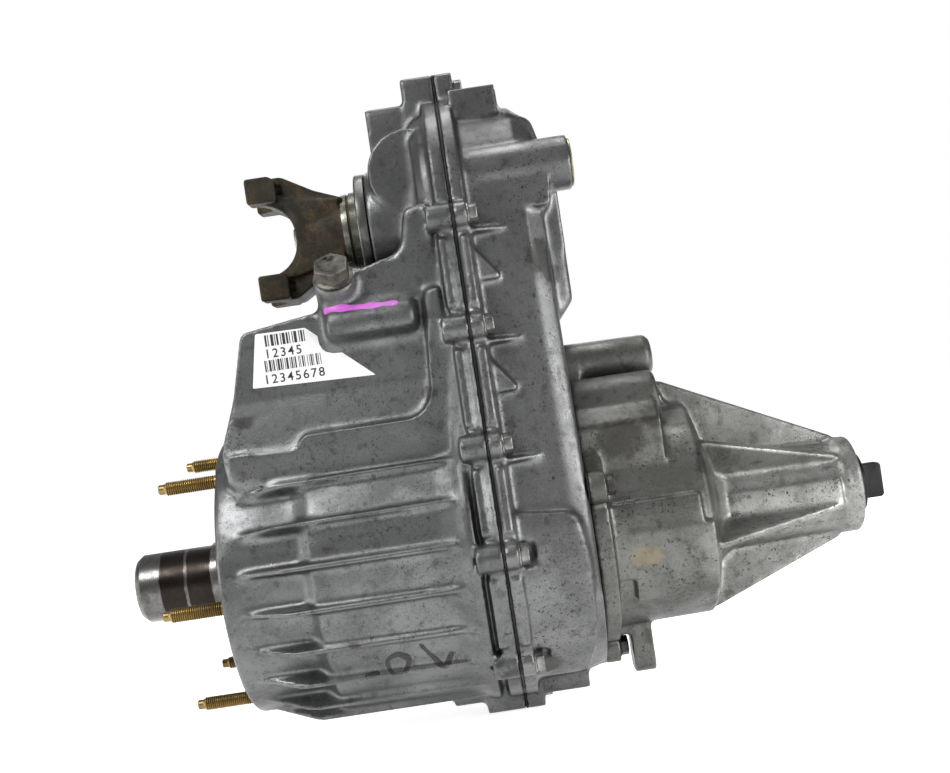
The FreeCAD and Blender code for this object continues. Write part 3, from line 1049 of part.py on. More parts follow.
# --- main shaft line ----------------------------------------------------------------------------


def main_shaft():
    start, width, bore, _ = OUTPUT_BEARING
    chain_end = CHAIN_X + CHAIN_WIDTH
    body = turned([(MAIN_START_X, 0), (MAIN_START_X, PILOT_RADIUS - 2), (MAIN_START_X + 2, PILOT_RADIUS),
                   (GEAR_X + 13, PILOT_RADIUS), (GEAR_X + 13, MAIN_SPLINE_RADIUS - 3),
                   (HUB_X, MAIN_SPLINE_RADIUS - 3), (HUB_X, SPROCKET_JOURNAL - 1),
                   (HUB_END_X + 1, SPROCKET_JOURNAL - 1),
                   (HUB_END_X + 1, SPROCKET_JOURNAL), (chain_end + SIDE_GAP, SPROCKET_JOURNAL),
                   (chain_end + SIDE_GAP, SPROCKET_JOURNAL + 5), (chain_end + 6, SPROCKET_JOURNAL + 5),
                   (chain_end + 8, bore + 2), (start - 2, bore + 2), (start - 2, bore),
                   (TONE_X + TONE_WIDTH + 4, bore),
                   (TONE_X + TONE_WIDTH + 6, bore - 4), (TONE_X + TONE_WIDTH + 12, bore - 4),
                   (TONE_X + TONE_WIDTH + 12, 0)])
    range_spline = toothed(GEAR_X + 16, HUB_X, spline_profile(MAIN_SPLINE_RADIUS, 3, MAIN_SPLINE_COUNT),
                           MAIN_SPLINE_COUNT)
    tail_spline = toothed(TONE_X + TONE_WIDTH + 12, MAIN_END_X - 2, spline_profile(bore - 2.5, 2, 20), 20)
    tip = turned([(MAIN_END_X - 2, 0), (MAIN_END_X - 2, bore - 5), (MAIN_END_X, bore - 7), (MAIN_END_X, 0)])
    return body.fuse([range_spline, tail_spline, tip])


def mode_hub():
    outer = MODE_DOG_RADIUS
    teeth = toothed(HUB_X, HUB_END_X, spline_profile(outer, DOG_DEPTH, DOG_COUNT), DOG_COUNT)
    return teeth.cut(cylinder(HUB_X - 1, HUB_END_X + 1, SPROCKET_JOURNAL - 1 + SEAT_FIT))


def grooved_sleeve(x0, x1, groove, outer, bore):
    """Sliding sleeve with a fork groove and a splined bore."""
    low, high = groove - SIDE_GAP, groove + FORK_BLADE + SIDE_GAP
    body = turned([(x0, 0), (x0, outer - 2), (x0 + 2, outer), (low, outer), (low, outer - GROOVE_DEPTH),
                   (high, outer - GROOVE_DEPTH), (high, outer), (x1, outer), (x1, 0)])
    return body.cut(bore)


def range_sleeve():
    """Sleeve that locks the main shaft to the input gear."""
    collar_x = RANGE_GROOVE_X - 5
    end = RANGE_GROOVE_X + FORK_BLADE + 5
    nose_radius = DOG_RADIUS - DOG_DEPTH - 0.4
    nose = turned([(RANGE_SLEEVE_X, 0), (RANGE_SLEEVE_X, nose_radius), (collar_x + 1, nose_radius),
                   (collar_x + 1, 0)])
    dogs = toothed(RANGE_SLEEVE_X, GEAR_X + GEAR_WIDTH - 2,
                   spline_profile(DOG_RADIUS, DOG_DEPTH, DOG_COUNT),
                   DOG_COUNT)
    bore = toothed(RANGE_SLEEVE_X - 1, end + 1,
                   spline_profile(MAIN_SPLINE_RADIUS, 3, MAIN_SPLINE_COUNT, SPLINE_FIT), MAIN_SPLINE_COUNT)
    collar = grooved_sleeve(collar_x, end, RANGE_GROOVE_X, RANGE_COLLAR_RADIUS,
                            cylinder(collar_x, end, MAIN_SPLINE_RADIUS - 4))
    return collar.fuse([nose, dogs]).cut(bore)


def mode_sleeve():
    """Sleeve that locks the drive sprocket to the main shaft."""
    bore = toothed(MODE_SLEEVE_X - 1, MODE_SLEEVE_END_X + 1,
                   spline_profile(MODE_DOG_RADIUS, DOG_DEPTH, DOG_COUNT, SPLINE_FIT), DOG_COUNT)
    return grooved_sleeve(MODE_SLEEVE_X, MODE_SLEEVE_END_X, MODE_GROOVE_X, MODE_SLEEVE_RADIUS, bore)


def tone_wheel():
    depth = 3.0
    half_pitch = math.pi / TONE_TEETH
    profile = [(TONE_RADIUS - depth, -half_pitch * 0.55), (TONE_RADIUS, -half_pitch * 0.5),
               (TONE_RADIUS, half_pitch * 0.5), (TONE_RADIUS - depth, half_pitch * 0.55)]
    return toothed(TONE_X, TONE_X + TONE_WIDTH, profile, TONE_TEETH).cut(
        cylinder(TONE_X - 1, TONE_X + TONE_WIDTH + 1, OUTPUT_BEARING[2] + SEAT_FIT))


def pump_rotor():
    radius = OUTPUT_BEARING[2] + 2 + SEAT_FIT
    return ring(PUMP_X + 3, PUMP_X + PUMP_WIDTH - 3, PUMP_ROTOR_RADIUS, radius)




def oil_pump():
    """Pump body round the main shaft, with the pocket that its rotor turns in."""
    shaft = OUTPUT_BEARING[2] + 2 + 0.4
    body = turned([(PUMP_X, shaft), (PUMP_X, PUMP_RADIUS - 3), (PUMP_X + 3, PUMP_RADIUS),
                   (PUMP_X + PUMP_WIDTH, PUMP_RADIUS), (PUMP_X + PUMP_WIDTH, shaft),
                   (PUMP_X + PUMP_WIDTH - 2.7, shaft), (PUMP_X + PUMP_WIDTH - 2.7, PUMP_ROTOR_RADIUS + 0.2),
                   (PUMP_X + 2.7, PUMP_ROTOR_RADIUS + 0.2), (PUMP_X + 2.7, shaft)])
    lugs = []
    for angle in (0, 120, 240):
        lug = block(PUMP_X + 4, PUMP_X + 12, PUMP_RADIUS - 6, BARREL_RADIUS - WALL - 0.7, -7, 7)
        lug.rotate(Vector(), AXIS_X, angle + 30)
        lugs.append(lug)
    return body.fuse(lugs).cut(cylinder(PUMP_X - 1, PUMP_X + 8, PICKUP_RADIUS + SEAT_FIT, 0, -PICKUP_PORT))




def oil_pickup():
    """Suction pipe from the pump to the strainer in the bottom of the case."""
    bend_x = CHAIN_X + CHAIN_WIDTH + 4.4
    across = pin(Vector(bend_x - PICKUP_RADIUS * 0.2, 0, -PICKUP_PORT), AXIS_X,
                 PUMP_X + 7 - bend_x, PICKUP_RADIUS)
    down = pin(Vector(bend_x, 0, -PICKUP_DROP - 6), AXIS_Z, PICKUP_DROP - PICKUP_PORT + 6,
               PICKUP_RADIUS * 0.9)
    elbow = Part.makeSphere(PICKUP_RADIUS, Vector(bend_x, 0, -PICKUP_PORT))
    top, low = 4 - PICKUP_DROP, 4 - PICKUP_DROP - STRAINER_DEPTH
    strainer = end_plate([(-20, top, 3), (20, top, 3), (17, low, 3), (-17, low, 3)],
                         CHAIN_X - 14, bend_x + PICKUP_RADIUS - 1)
    return across.fuse([elbow, down, strainer])


# --- chain drive --------------------------------------------------------------------------------
def sprocket(z):
    face = CHAIN_X + 0.5
    end = CHAIN_X + CHAIN_WIDTH - 0.5
    phase = math.pi / SPROCKET_TEETH
    wheel = toothed(face, end, sprocket_profile(), SPROCKET_TEETH, phase, z)
    return wheel.cut([ring(face - 1, face + 8, PITCH_RADIUS - 14, SPROCKET_JOURNAL + 12, 0, z),
                      ring(end - 8, end + 1, PITCH_RADIUS - 14, SPROCKET_JOURNAL + 8, 0, z)])


def drive_sprocket():
    """Sprocket that turns on the main shaft, with dogs for the mode sleeve."""
    dogs = toothed(HUB_END_X + 4, CHAIN_X + 1, spline_profile(MODE_DOG_RADIUS, DOG_DEPTH, DOG_COUNT),
                   DOG_COUNT)
    bore = cylinder(HUB_END_X, CHAIN_X + CHAIN_WIDTH + 1, SPROCKET_JOURNAL + RUNNING_FIT)
    return sprocket(0).fuse(dogs).cut(bore)


def driven_sprocket():
    return sprocket(CENTRES).cut(cylinder(CHAIN_X - 1, CHAIN_X + CHAIN_WIDTH + 1,
                                          FRONT_SHAFT_RADIUS + SEAT_FIT, 0, CENTRES))


def link_outline():
    """(along, outward) corners of an inverted-tooth link plate."""
    half = CHAIN_PITCH / 2
    return [(-half - 2.0, LINK_BACK), (half + 2.0, LINK_BACK), (half + 2.6, -0.5), (half, -LINK_TOE),
            (1.9, -1.0), (-1.9, -1.0), (-half, -LINK_TOE), (-half - 2.6, -0.5)]


def link_pack(x0, x1, outline):
    points = [Vector(x0, u, v) for u, v in outline]
    return Part.Face(Part.makePolygon(points + points[:1])).extrude(Vector(x1 - x0, 0, 0))


def rocker_pins(x0, x1, grow):
    """The two pins of a link, square on their corners like rocker pins."""
    reach = 1.7 + grow
    pins = []
    for centre in (-CHAIN_PITCH / 2, CHAIN_PITCH / 2):
        outline = [(centre - reach, 0.6), (centre, 0.6 + reach), (centre + reach, 0.6),
                   (centre, 0.6 - reach)]
        pins.append(link_pack(x0, x1, outline))
    return pins


def chain_path():
    """(y, z, turn) of every link's middle, and the way its back faces, round both sprockets."""
    step = 2 * math.pi / SPROCKET_TEETH
    chord = PITCH_RADIUS * math.cos(step / 2)
    half_teeth = SPROCKET_TEETH // 2
    places = []
    for i in range(half_teeth):
        turn = (i + 0.5) * step
        places.append((chord * math.cos(turn), CENTRES + chord * math.sin(turn), turn))
        places.append((chord * math.cos(turn), -chord * math.sin(turn), -turn))
    for i in range(STRAND_LINKS):
        height = (i + 0.5) * CHAIN_PITCH
        places.append((PITCH_RADIUS, height, 0.0))
        places.append((-PITCH_RADIUS, height, math.pi))
    return places


def link_rank(y, z, turn):
    """Number of the link along the chain, which says whether it is an outer or an inner one."""
    step = 2 * math.pi / SPROCKET_TEETH
    half_teeth = SPROCKET_TEETH // 2
    if turn in (0.0, math.pi):
        row = int(z / CHAIN_PITCH)
        return row if turn == 0.0 else STRAND_LINKS + half_teeth + STRAND_LINKS - 1 - row
    if z > CENTRES / 2:
        return STRAND_LINKS + int(turn / step)
    return -1 - int(-turn / step)


def drive_chain():
    """Inverted-tooth chain: outer links carry the pins and inner links turn on them."""
    side = CHAIN_WIDTH * 0.22
    end = CHAIN_X + CHAIN_WIDTH
    outline = link_outline()
    outer = link_pack(CHAIN_X, CHAIN_X + side, outline).fuse(
        [link_pack(end - side, end, outline)] + rocker_pins(CHAIN_X, end, 0))
    inner = link_pack(CHAIN_X + side + 0.2, end - side - 0.2, outline).cut(
        rocker_pins(CHAIN_X, end, 0.25))
    links = []
    for y, z, turn in chain_path():
        link = (outer if link_rank(y, z, turn) % 2 else inner).copy()
        link.rotate(Vector(), AXIS_X, math.degrees(turn) - 90)
        link.translate(Vector(0, y, z))
        links.append(link)
    return Part.makeCompound(links)


# --- front output line --------------------------------------------------------------------------
def front_output_shaft():
    start, width, bore, _ = FRONT_BEARING
    end = start + width
    thread_x = YOKE_HUB_X - 19
    return turned([(FRONT_SHAFT_TIP_X, 0), (FRONT_SHAFT_TIP_X, 9), (FRONT_SHAFT_TIP_X + 2, 11),
                   (thread_x, 11),
                   (thread_x, 16), (start - 1, 16), (start - 1, bore), (end, bore),
                   (end, FRONT_SHAFT_RADIUS),
                   (CHAIN_X + CHAIN_WIDTH, FRONT_SHAFT_RADIUS), (CHAIN_X + CHAIN_WIDTH, FRONT_JOURNAL),
                   (FRONT_SHAFT_END_X - 1, FRONT_JOURNAL), (FRONT_SHAFT_END_X - 1, 0)], CENTRES)


def front_output_yoke():
    """Strap yoke: two ears with half-round saddles that open forwards."""
    back = YOKE_FACE_X + YOKE_EAR_DEPTH
    arms = side_plate([(YOKE_FACE_X + 4, CENTRES - YOKE_EAR_OUTER, 0),
                       (YOKE_FACE_X + 4, CENTRES + YOKE_EAR_OUTER, 0),
                       (back, CENTRES + YOKE_EAR_OUTER, 9),
                       (YOKE_HUB_X - 18, CENTRES + YOKE_HUB_RADIUS + 4, 12),
                       (YOKE_HUB_X + 2, CENTRES + YOKE_HUB_RADIUS - 4, 0),
                       (YOKE_HUB_X + 2, CENTRES - YOKE_HUB_RADIUS + 4, 0),
                       (YOKE_HUB_X - 18, CENTRES - YOKE_HUB_RADIUS - 4, 12),
                       (back, CENTRES - YOKE_EAR_OUTER, 9)],
                      -YOKE_ARM_HALF_WIDTH, YOKE_ARM_HALF_WIDTH)
    ears = [side_plate([(YOKE_FACE_X, low, 2), (YOKE_FACE_X, high, 2), (back - 4, high, 6),
                        (back - 4, low, 2)],
                       -YOKE_EAR_HALF_WIDTH, YOKE_EAR_HALF_WIDTH)
            for low, high in ((CENTRES + YOKE_EAR_INNER, CENTRES + YOKE_EAR_OUTER),
                              (CENTRES - YOKE_EAR_OUTER, CENTRES - YOKE_EAR_INNER))]
    neck = FRONT_BEARING[0] - 1
    hub = turned([(YOKE_HUB_X - 30, 0), (YOKE_HUB_X - 30, YOKE_HUB_RADIUS - 4),
                  (YOKE_HUB_X, YOKE_HUB_RADIUS),
                  (SLINGER_X, YOKE_HUB_RADIUS), (SLINGER_X, YOKE_NECK_RADIUS), (neck, YOKE_NECK_RADIUS),
                  (neck, 0)],
                 CENTRES)
    notch = side_plate([(YOKE_FACE_X - 1, CENTRES - YOKE_EAR_INNER, 0),
                        (YOKE_FACE_X - 1, CENTRES + YOKE_EAR_INNER, 0),
                        (back + 5, CENTRES + YOKE_EAR_INNER, 24), (back + 5, CENTRES - YOKE_EAR_INNER, 24)],
                       -YOKE_EAR_HALF_WIDTH - 1, YOKE_EAR_HALF_WIDTH + 1)
    saddle = pin(Vector(YOKE_FACE_X, 0, CENTRES - 60), AXIS_Z, 120, SADDLE_RADIUS)
    bolt_holes = [cylinder(YOKE_FACE_X - 1, back, 4, side * STRAP_BOLT_OFFSET, CENTRES + row * ear_middle())
                  for side in (-1, 1) for row in (-1, 1)]
    nut_room = cylinder(YOKE_FACE_X, YOKE_HUB_X - 19, 19, 0, CENTRES)
    bore = cylinder(YOKE_FACE_X, neck + 1, 16 + SEAT_FIT, 0, CENTRES)
    return arms.fuse(ears + [hub]).cut([notch, saddle, nut_room, bore] + bolt_holes)


def ear_middle():
    return (YOKE_EAR_INNER + YOKE_EAR_OUTER) / 2


def yoke_nut():
    thickness = 12.0
    seat = YOKE_HUB_X - 19
    nut = hexagon(30, thickness, Vector(seat - thickness, 0, CENTRES))
    washer = cylinder(seat - 3, seat, 18, 0, CENTRES)
    return nut.fuse(washer).cut(cylinder(seat - thickness - 1, seat + 1, 11 + THREAD_FIT, 0, CENTRES))


def yoke_slinger():
    """Dished ring on the yoke that throws oil and dirt away from the seal."""
    inner = YOKE_NECK_RADIUS + SEAT_FIT
    end = SLINGER_X + SLINGER_WIDTH
    return turned([(SLINGER_X, inner), (SLINGER_X, SLINGER_RADIUS - 1), (SLINGER_X + 1, SLINGER_RADIUS),
                   (end, SLINGER_RADIUS), (end, SLINGER_RADIUS - 2), (SLINGER_X + 3, SLINGER_RADIUS - 2),
                   (SLINGER_X + 3, inner)], CENTRES)


# --- shift mechanism ----------------------------------------------------------------------------
def shift_rail():
    return cylinder(RAIL_START_X + 1, RAIL_END_X - 1, RAIL_RADIUS, 0, RAIL_Z)


def rest_pin_x():
    return LEVER_X - LEVER_ARM * math.sin(LEVER_SWING / 2)


def shift_sector():
    """Shift shaft with its detent plate and the arm whose pin moves the range fork."""
    shaft = pin(Vector(LEVER_X, DETENT_PLATE_Y - 3, LEVER_Z), AXIS_Y, 64 - DETENT_PLATE_Y,
                SHIFT_SHAFT_RADIUS)
    plate = pin(Vector(LEVER_X, DETENT_PLATE_Y - DETENT_PLATE / 2, LEVER_Z), AXIS_Y, DETENT_PLATE,
                DETENT_RIM)
    arm = side_plate([(-10, 10, 4), (10, 10, 4), (8, -LEVER_ARM - 8, 6), (-8, -LEVER_ARM - 8, 6)], -30, -24)
    drive = pin(Vector(0, -30, -LEVER_ARM), AXIS_Y, 16, SHIFT_PIN_RADIUS)
    arm = arm.fuse(drive)
    arm.rotate(Vector(), AXIS_Y, math.degrees(LEVER_SWING / 2))
    arm.translate(Vector(LEVER_X, 0, LEVER_Z))
    return shaft.fuse([plate, arm])


def shift_lever():
    """Lever on the end of the shift shaft, with an eye for the linkage."""
    start = BLOCK_FAR_Y + 9
    thickness = 6.0
    bar = side_plate([(0, -15, 0), (0, 15, 0), (LEVER_LENGTH, 9, 0), (LEVER_LENGTH, -9, 0)],
                     start, start + thickness)
    hub = pin(Vector(0, start, 0), AXIS_Y, thickness, SHIFT_SHAFT_RADIUS + 7)
    eye = pin(Vector(LEVER_LENGTH, start, 0), AXIS_Y, thickness, LEVER_EYE_RADIUS + 6)
    lever = bar.fuse([hub, eye]).cut([
        pin(Vector(LEVER_LENGTH, start - 1, 0), AXIS_Y, thickness + 2, LEVER_EYE_RADIUS),
        pin(Vector(0, start - 1, 0), AXIS_Y, thickness + 2, SHIFT_SHAFT_RADIUS + SEAT_FIT)])
    lever.rotate(Vector(), AXIS_Y, -16)
    lever.translate(Vector(LEVER_X, 0, LEVER_Z))
    return lever




def fork(blade_x, hub0, hub1, groove_radius):
    """Fork on the rail whose two prongs sit in a sleeve's groove."""
    blade_end = blade_x + FORK_BLADE
    hub = cylinder(hub0, hub1, RAIL_RADIUS + 6, 0, RAIL_Z)
    spread = groove_radius + 16
    blade = end_plate([(-13, RAIL_Z, 0), (13, RAIL_Z, 0), (spread, 26, 12), (spread - 2, -10, 6),
                       (-spread + 2, -10, 6),
                       (-spread, 26, 12)], blade_x, blade_end)
    gap = cylinder(blade_x - 1, blade_end + 1, groove_radius + SIDE_GAP)
    open_end = block(blade_x - 1, blade_end + 1, -groove_radius - SIDE_GAP, groove_radius + SIDE_GAP, -40,
                     0)
    bore = cylinder(hub0 - 1, hub1 + 1, RAIL_RADIUS + RUNNING_FIT, 0, RAIL_Z)
    return hub.fuse(blade).cut([gap, open_end, bore])


def range_fork():
    """Range fork, with the slotted ear that the shift pin moves."""
    hub0, hub1 = rest_pin_x() - 14, RANGE_GROOVE_X + FORK_BLADE
    x = rest_pin_x()
    ear = block(x - 12, x + 12, -23, -9, RAIL_Z - 16, RAIL_Z + 10)
    slot_half = SHIFT_PIN_RADIUS + SIDE_GAP
    slot = block(x - slot_half, x + slot_half, -24, -13, RAIL_Z - 17, RAIL_Z + 11)
    bore = cylinder(hub0 - 1, hub1 + 1, RAIL_RADIUS + RUNNING_FIT, 0, RAIL_Z)
    return fork(RANGE_GROOVE_X, hub0, hub1, RANGE_COLLAR_RADIUS - GROOVE_DEPTH).fuse(ear).cut([slot, bore])


def mode_fork():
    return fork(MODE_GROOVE_X, MODE_GROOVE_X - 11, MODE_GROOVE_X + 13, MODE_SLEEVE_RADIUS - GROOVE_DEPTH)


def coil(start, axis, radius, wire, length, turns):
    """Coil spring of square wire, ground flat at both ends."""
    helix = Part.makeHelix((length - wire) / turns, length - wire, radius)
    half = wire / 2
    corners = [Vector(radius - half, 0, -half), Vector(radius + half, 0, -half),
               Vector(radius + half, 0, half), Vector(radius - half, 0, half)]
    section = Part.makePolygon(corners + corners[:1])
    solid = Part.Wire(helix).makePipeShell([section], True, True)
    solid.translate(Vector(0, 0, half))
    solid.Placement = Placement(start, Rotation(AXIS_Z, axis)).multiply(solid.Placement)
    return solid


def mode_spring():
    """Spring on the rail that pushes the mode fork towards the sprocket."""
    start = MODE_GROOVE_X - 11 - SPRING_LENGTH - 0.2
    return coil(Vector(start, 0, RAIL_Z), AXIS_X, RAIL_RADIUS + 2, 2, SPRING_LENGTH, 5)




def spring_clip():
    """Ring on the rail that the mode spring pushes against."""
    end = MODE_GROOVE_X - 11 - SPRING_LENGTH - 0.4
    return ring(end - 3, end, RAIL_RADIUS + 4, RAIL_RADIUS + SEAT_FIT, 0, RAIL_Z)


def detent_plug():
    seat = DETENT_REACH - DETENT_HEAD_HEIGHT
    head = hexagon(DETENT_HEAD_ACROSS, DETENT_HEAD_HEIGHT, detent_point(seat), DETENT_AXIS)
    thread = pin(detent_point(seat - 14), DETENT_AXIS, 14.5, DETENT_BORE + 3)
    return head.fuse(thread)




def detent_plunger():
    body = pin(detent_point(PLUNGER_GAP + 3), DETENT_AXIS, PLUNGER_LENGTH - 3, DETENT_BORE - 0.2)
    tip = Part.makeCone(3.0, DETENT_BORE - 0.2, 3, detent_point(PLUNGER_GAP), DETENT_AXIS)
    return body.fuse(tip)


def detent_spring():
    start = PLUNGER_GAP + PLUNGER_LENGTH + 0.2
    end = DETENT_REACH - DETENT_HEAD_HEIGHT - 14.2
    return coil(detent_point(start), DETENT_AXIS, 4.2, 1.4, end - start, 4)


# --- nodes --------------------------------------------------------------------------------------
def nodes():
    bearings = {"input_bearing": (INPUT_BEARING, 0.0), "output_bearing": (OUTPUT_BEARING, 0.0),
                "front_bearing": (FRONT_BEARING, CENTRES)}
    model = {
        "front_case": front_case, "case_sealant": case_sealant, "rear_case": rear_case,
        "extension_gasket": extension_gasket, "extension_housing": extension_housing,
        "mounting_studs": mounting_studs, "case_bolts": case_bolts, "extension_bolts": extension_bolts,
        "cup_plug": cup_plug, "oil_plugs": oil_plugs, "breather_tube": breather_tube,
        "speed_sensor": speed_sensor, "tail_bushing": tail_bushing, "tail_seal": tail_seal,
        "shipping_plug": shipping_plug, "needle_bearing": needle_bearing,
        "input_seal": lambda: lip_seal(0.5, 7.5, INPUT_BEARING[3], INPUT_COLLAR_RADIUS),
        "front_output_seal": lambda: lip_seal(FRONT_SEAL_X, FRONT_SEAL_X + FRONT_SEAL_WIDTH,
                                              FRONT_BEARING[3], YOKE_NECK_RADIUS, CENTRES),
        "input_gear": input_gear, "annulus_gear": annulus_gear, "planet_carrier": planet_carrier,
        "main_shaft": main_shaft, "mode_hub": mode_hub, "mode_sleeve": mode_sleeve,
        "range_sleeve": range_sleeve, "tone_wheel": tone_wheel, "pump_rotor": pump_rotor,
        "oil_pump": oil_pump, "oil_pickup": oil_pickup, "drive_sprocket": drive_sprocket,
        "driven_sprocket": driven_sprocket, "drive_chain": drive_chain,
        "front_output_shaft": front_output_shaft, "front_output_yoke": front_output_yoke,
        "yoke_nut": yoke_nut, "yoke_slinger": yoke_slinger, "shift_rail": shift_rail,
        "shift_sector": shift_sector, "shift_lever": shift_lever, "range_fork": range_fork,
        "mode_fork": mode_fork, "mode_spring": mode_spring, "spring_clip": spring_clip,
        "detent_plug": detent_plug, "detent_plunger": detent_plunger, "detent_spring": detent_spring,
    }
    for name, (bearing, z) in bearings.items():
        model[name + "_outer"] = lambda b=bearing, h=z: bearing_outer(b, h)
        model[name + "_inner"] = lambda b=bearing, h=z: bearing_inner(b, h)
        model[name + "_balls"] = lambda b=bearing, h=z: bearing_balls(b, h)
    for i in range(PLANETS):
        model[f"planet_gear_{i + 1}"] = lambda index=i: planet_gear(index)
    return model


def main():
    os.makedirs("parts", exist_ok=True)
    for name, make in nodes().items():
        shape = make()
        print(name, len(shape.Solids), round(shape.Volume), shape.isValid())
        shape.exportStep(f"parts/{name}.step")


main()
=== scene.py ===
"""Looks of a two-speed transfer case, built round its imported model."""

import json
import logging
import math
from dataclasses import dataclass, field
from enum import Enum
from typing import Optional, Sequence, Union

import bmesh
import bpy
from mathutils import Matrix, Vector, noise
from mathutils.bvhtree import BVHTree


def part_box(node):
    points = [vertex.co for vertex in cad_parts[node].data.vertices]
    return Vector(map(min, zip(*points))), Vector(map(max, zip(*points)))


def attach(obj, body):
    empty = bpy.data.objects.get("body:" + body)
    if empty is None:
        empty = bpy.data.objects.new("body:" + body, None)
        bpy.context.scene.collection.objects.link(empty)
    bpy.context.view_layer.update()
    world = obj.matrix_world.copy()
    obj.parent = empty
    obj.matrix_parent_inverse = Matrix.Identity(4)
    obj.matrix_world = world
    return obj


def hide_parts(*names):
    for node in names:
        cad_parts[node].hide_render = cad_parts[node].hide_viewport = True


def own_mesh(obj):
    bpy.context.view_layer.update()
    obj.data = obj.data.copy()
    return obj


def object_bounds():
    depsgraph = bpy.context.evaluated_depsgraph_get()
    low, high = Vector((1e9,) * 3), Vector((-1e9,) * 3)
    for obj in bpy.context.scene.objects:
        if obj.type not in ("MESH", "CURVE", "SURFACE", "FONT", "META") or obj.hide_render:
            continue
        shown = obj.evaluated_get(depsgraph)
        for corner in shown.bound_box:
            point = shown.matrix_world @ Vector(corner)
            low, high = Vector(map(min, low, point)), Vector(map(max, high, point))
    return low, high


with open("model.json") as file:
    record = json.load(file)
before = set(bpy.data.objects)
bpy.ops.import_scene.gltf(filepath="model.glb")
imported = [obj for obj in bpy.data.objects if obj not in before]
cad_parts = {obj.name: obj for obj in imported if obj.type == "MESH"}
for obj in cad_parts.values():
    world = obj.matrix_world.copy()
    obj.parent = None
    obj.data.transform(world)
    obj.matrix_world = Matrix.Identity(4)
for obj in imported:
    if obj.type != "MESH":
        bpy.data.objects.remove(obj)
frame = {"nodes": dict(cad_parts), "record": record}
cad_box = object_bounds()
log = logging.getLogger("transfer_case")

MM = 0.001
ALONG = Vector((1, 0, 0))
ACROSS = Vector((0, 1, 0))
DETENT_AXIS = Vector((0, -math.sqrt(0.5), math.sqrt(0.5)))

Pair = tuple[float, float]
Triple = tuple[float, float, float]
Spot = tuple[float, float, float, float]
Node = bpy.types.Node
Socket = bpy.types.NodeSocket
Tree = bpy.types.NodeTree
Mesh = bpy.types.Mesh
Piece = bpy.types.Object
Shape = bmesh.types.BMesh


class Body(Enum):
    """Bodies of the model that new pieces ride on."""

    HOUSING = "housing"
    FRONT_OUTPUT = "front_output"
    SHIFT_LEVER = "shift_lever"
    TAIL_PLUG = "tail_plug"


# --- shader node groups ------------------------------------------------------------------------


@dataclass
class Wiring:
    """Short calls for adding and linking the nodes of one tree."""

    tree: Tree

    def add(self, kind: str, inputs: Optional[dict] = None, **settings: object) -> Node:
        """Add a node.

        Args:
            kind: The node's type.
            inputs: Socket or plain value for each named or numbered input.
            settings: Properties of the node.

        Returns:
            The new node.
        """
        node = self.tree.nodes.new(kind)
        for key, value in settings.items():
            setattr(node, key, value)
        for key, value in (inputs or {}).items():
            self.feed(node.inputs[key], value)
        return node

    def feed(self, target: Socket, value: object) -> None:
        """Link a socket, or set it to a plain value.

        Args:
            target: The input.
            value: An output to link to it, or the value.
        """
        if isinstance(value, Socket):
            self.tree.links.new(value, target)
        elif target.type == "RGBA":
            target.default_value = (*value, 1.0)
        else:
            target.default_value = value

    def math(self, operation: str, *values: object) -> Socket:
        """Combine values with one Math node."""
        return self.add("ShaderNodeMath", dict(enumerate(values)), operation=operation).outputs[0]

    def times(self, first: object, second: object) -> Socket:
        """Product of two values."""
        return self.math("MULTIPLY", first, second)

    def plus(self, first: object, second: object) -> Socket:
        """Sum of two values."""
        return self.math("ADD", first, second)

    def remap(self, value: object, low: float, high: float, start: float = 0.0,
              end: float = 1.0) -> Socket:
        """Map a value from one range to another, clamped and smooth."""
        return self.add("ShaderNodeMapRange", dict(enumerate((value, low, high, start, end))),
                        interpolation_type="SMOOTHSTEP").outputs[0]

    def mix(self, factor: object, first: object, second: object) -> Socket:
        """Mix two colours."""
        return self.add("ShaderNodeMix", {"Factor": factor, 6: first, 7: second},
                        data_type="RGBA").outputs[2]

    def noise(self, vector: object, scale: object, detail: float, rough: float,
              warp: float = 0.0) -> Socket:
        """Noise texture value.

        Args:
            vector: Where it is read.
            scale: Features per metre.
            detail: Octaves.
            rough: Share of the fine octaves.
            warp: Distortion.

        Returns:
            The value.
        """
        inputs = {"Vector": vector, "Scale": scale, "Detail": detail, "Roughness": rough,
                  "Distortion": warp}
        return self.add("ShaderNodeTexNoise", inputs).outputs["Fac"]

    def place(self) -> Socket:
        """Coordinates on the object."""
        return self.add("ShaderNodeTexCoord").outputs["Object"]

    def parts(self, vector: Socket) -> Sequence[Socket]:
        """The three parts of a vector."""
        return self.add("ShaderNodeSeparateXYZ", {0: vector}).outputs


@dataclass
class EffectGroup:
    """A shader effect that several finishes share, with named inputs and outputs."""

    name: str
    inputs: dict[str, float]
    outputs: tuple[str, ...]

    def begin(self) -> tuple[Tree, Wiring, Node, Node]:
        """Make the group with its sockets.

        Returns:
            The group, its wiring, and its input and output nodes.
        """
        group = bpy.data.node_groups.new(self.name, "ShaderNodeTree")
        for label, value in self.inputs.items():
            socket = group.interface.new_socket(name=label, in_out="INPUT",
                                                socket_type="NodeSocketFloat")
            socket.default_value = value
        for label in self.outputs:
            group.interface.new_socket(name=label, in_out="OUTPUT", socket_type="NodeSocketFloat")
        wiring = Wiring(group)
        return group, wiring, wiring.add("NodeGroupInput"), wiring.add("NodeGroupOutput")

    def finish(self, wiring: Wiring, end: Node, *values: Socket) -> None:
        """Link the values, in the order of the outputs."""
        for label, value in zip(self.outputs, values):
            wiring.feed(end.inputs[label], value)


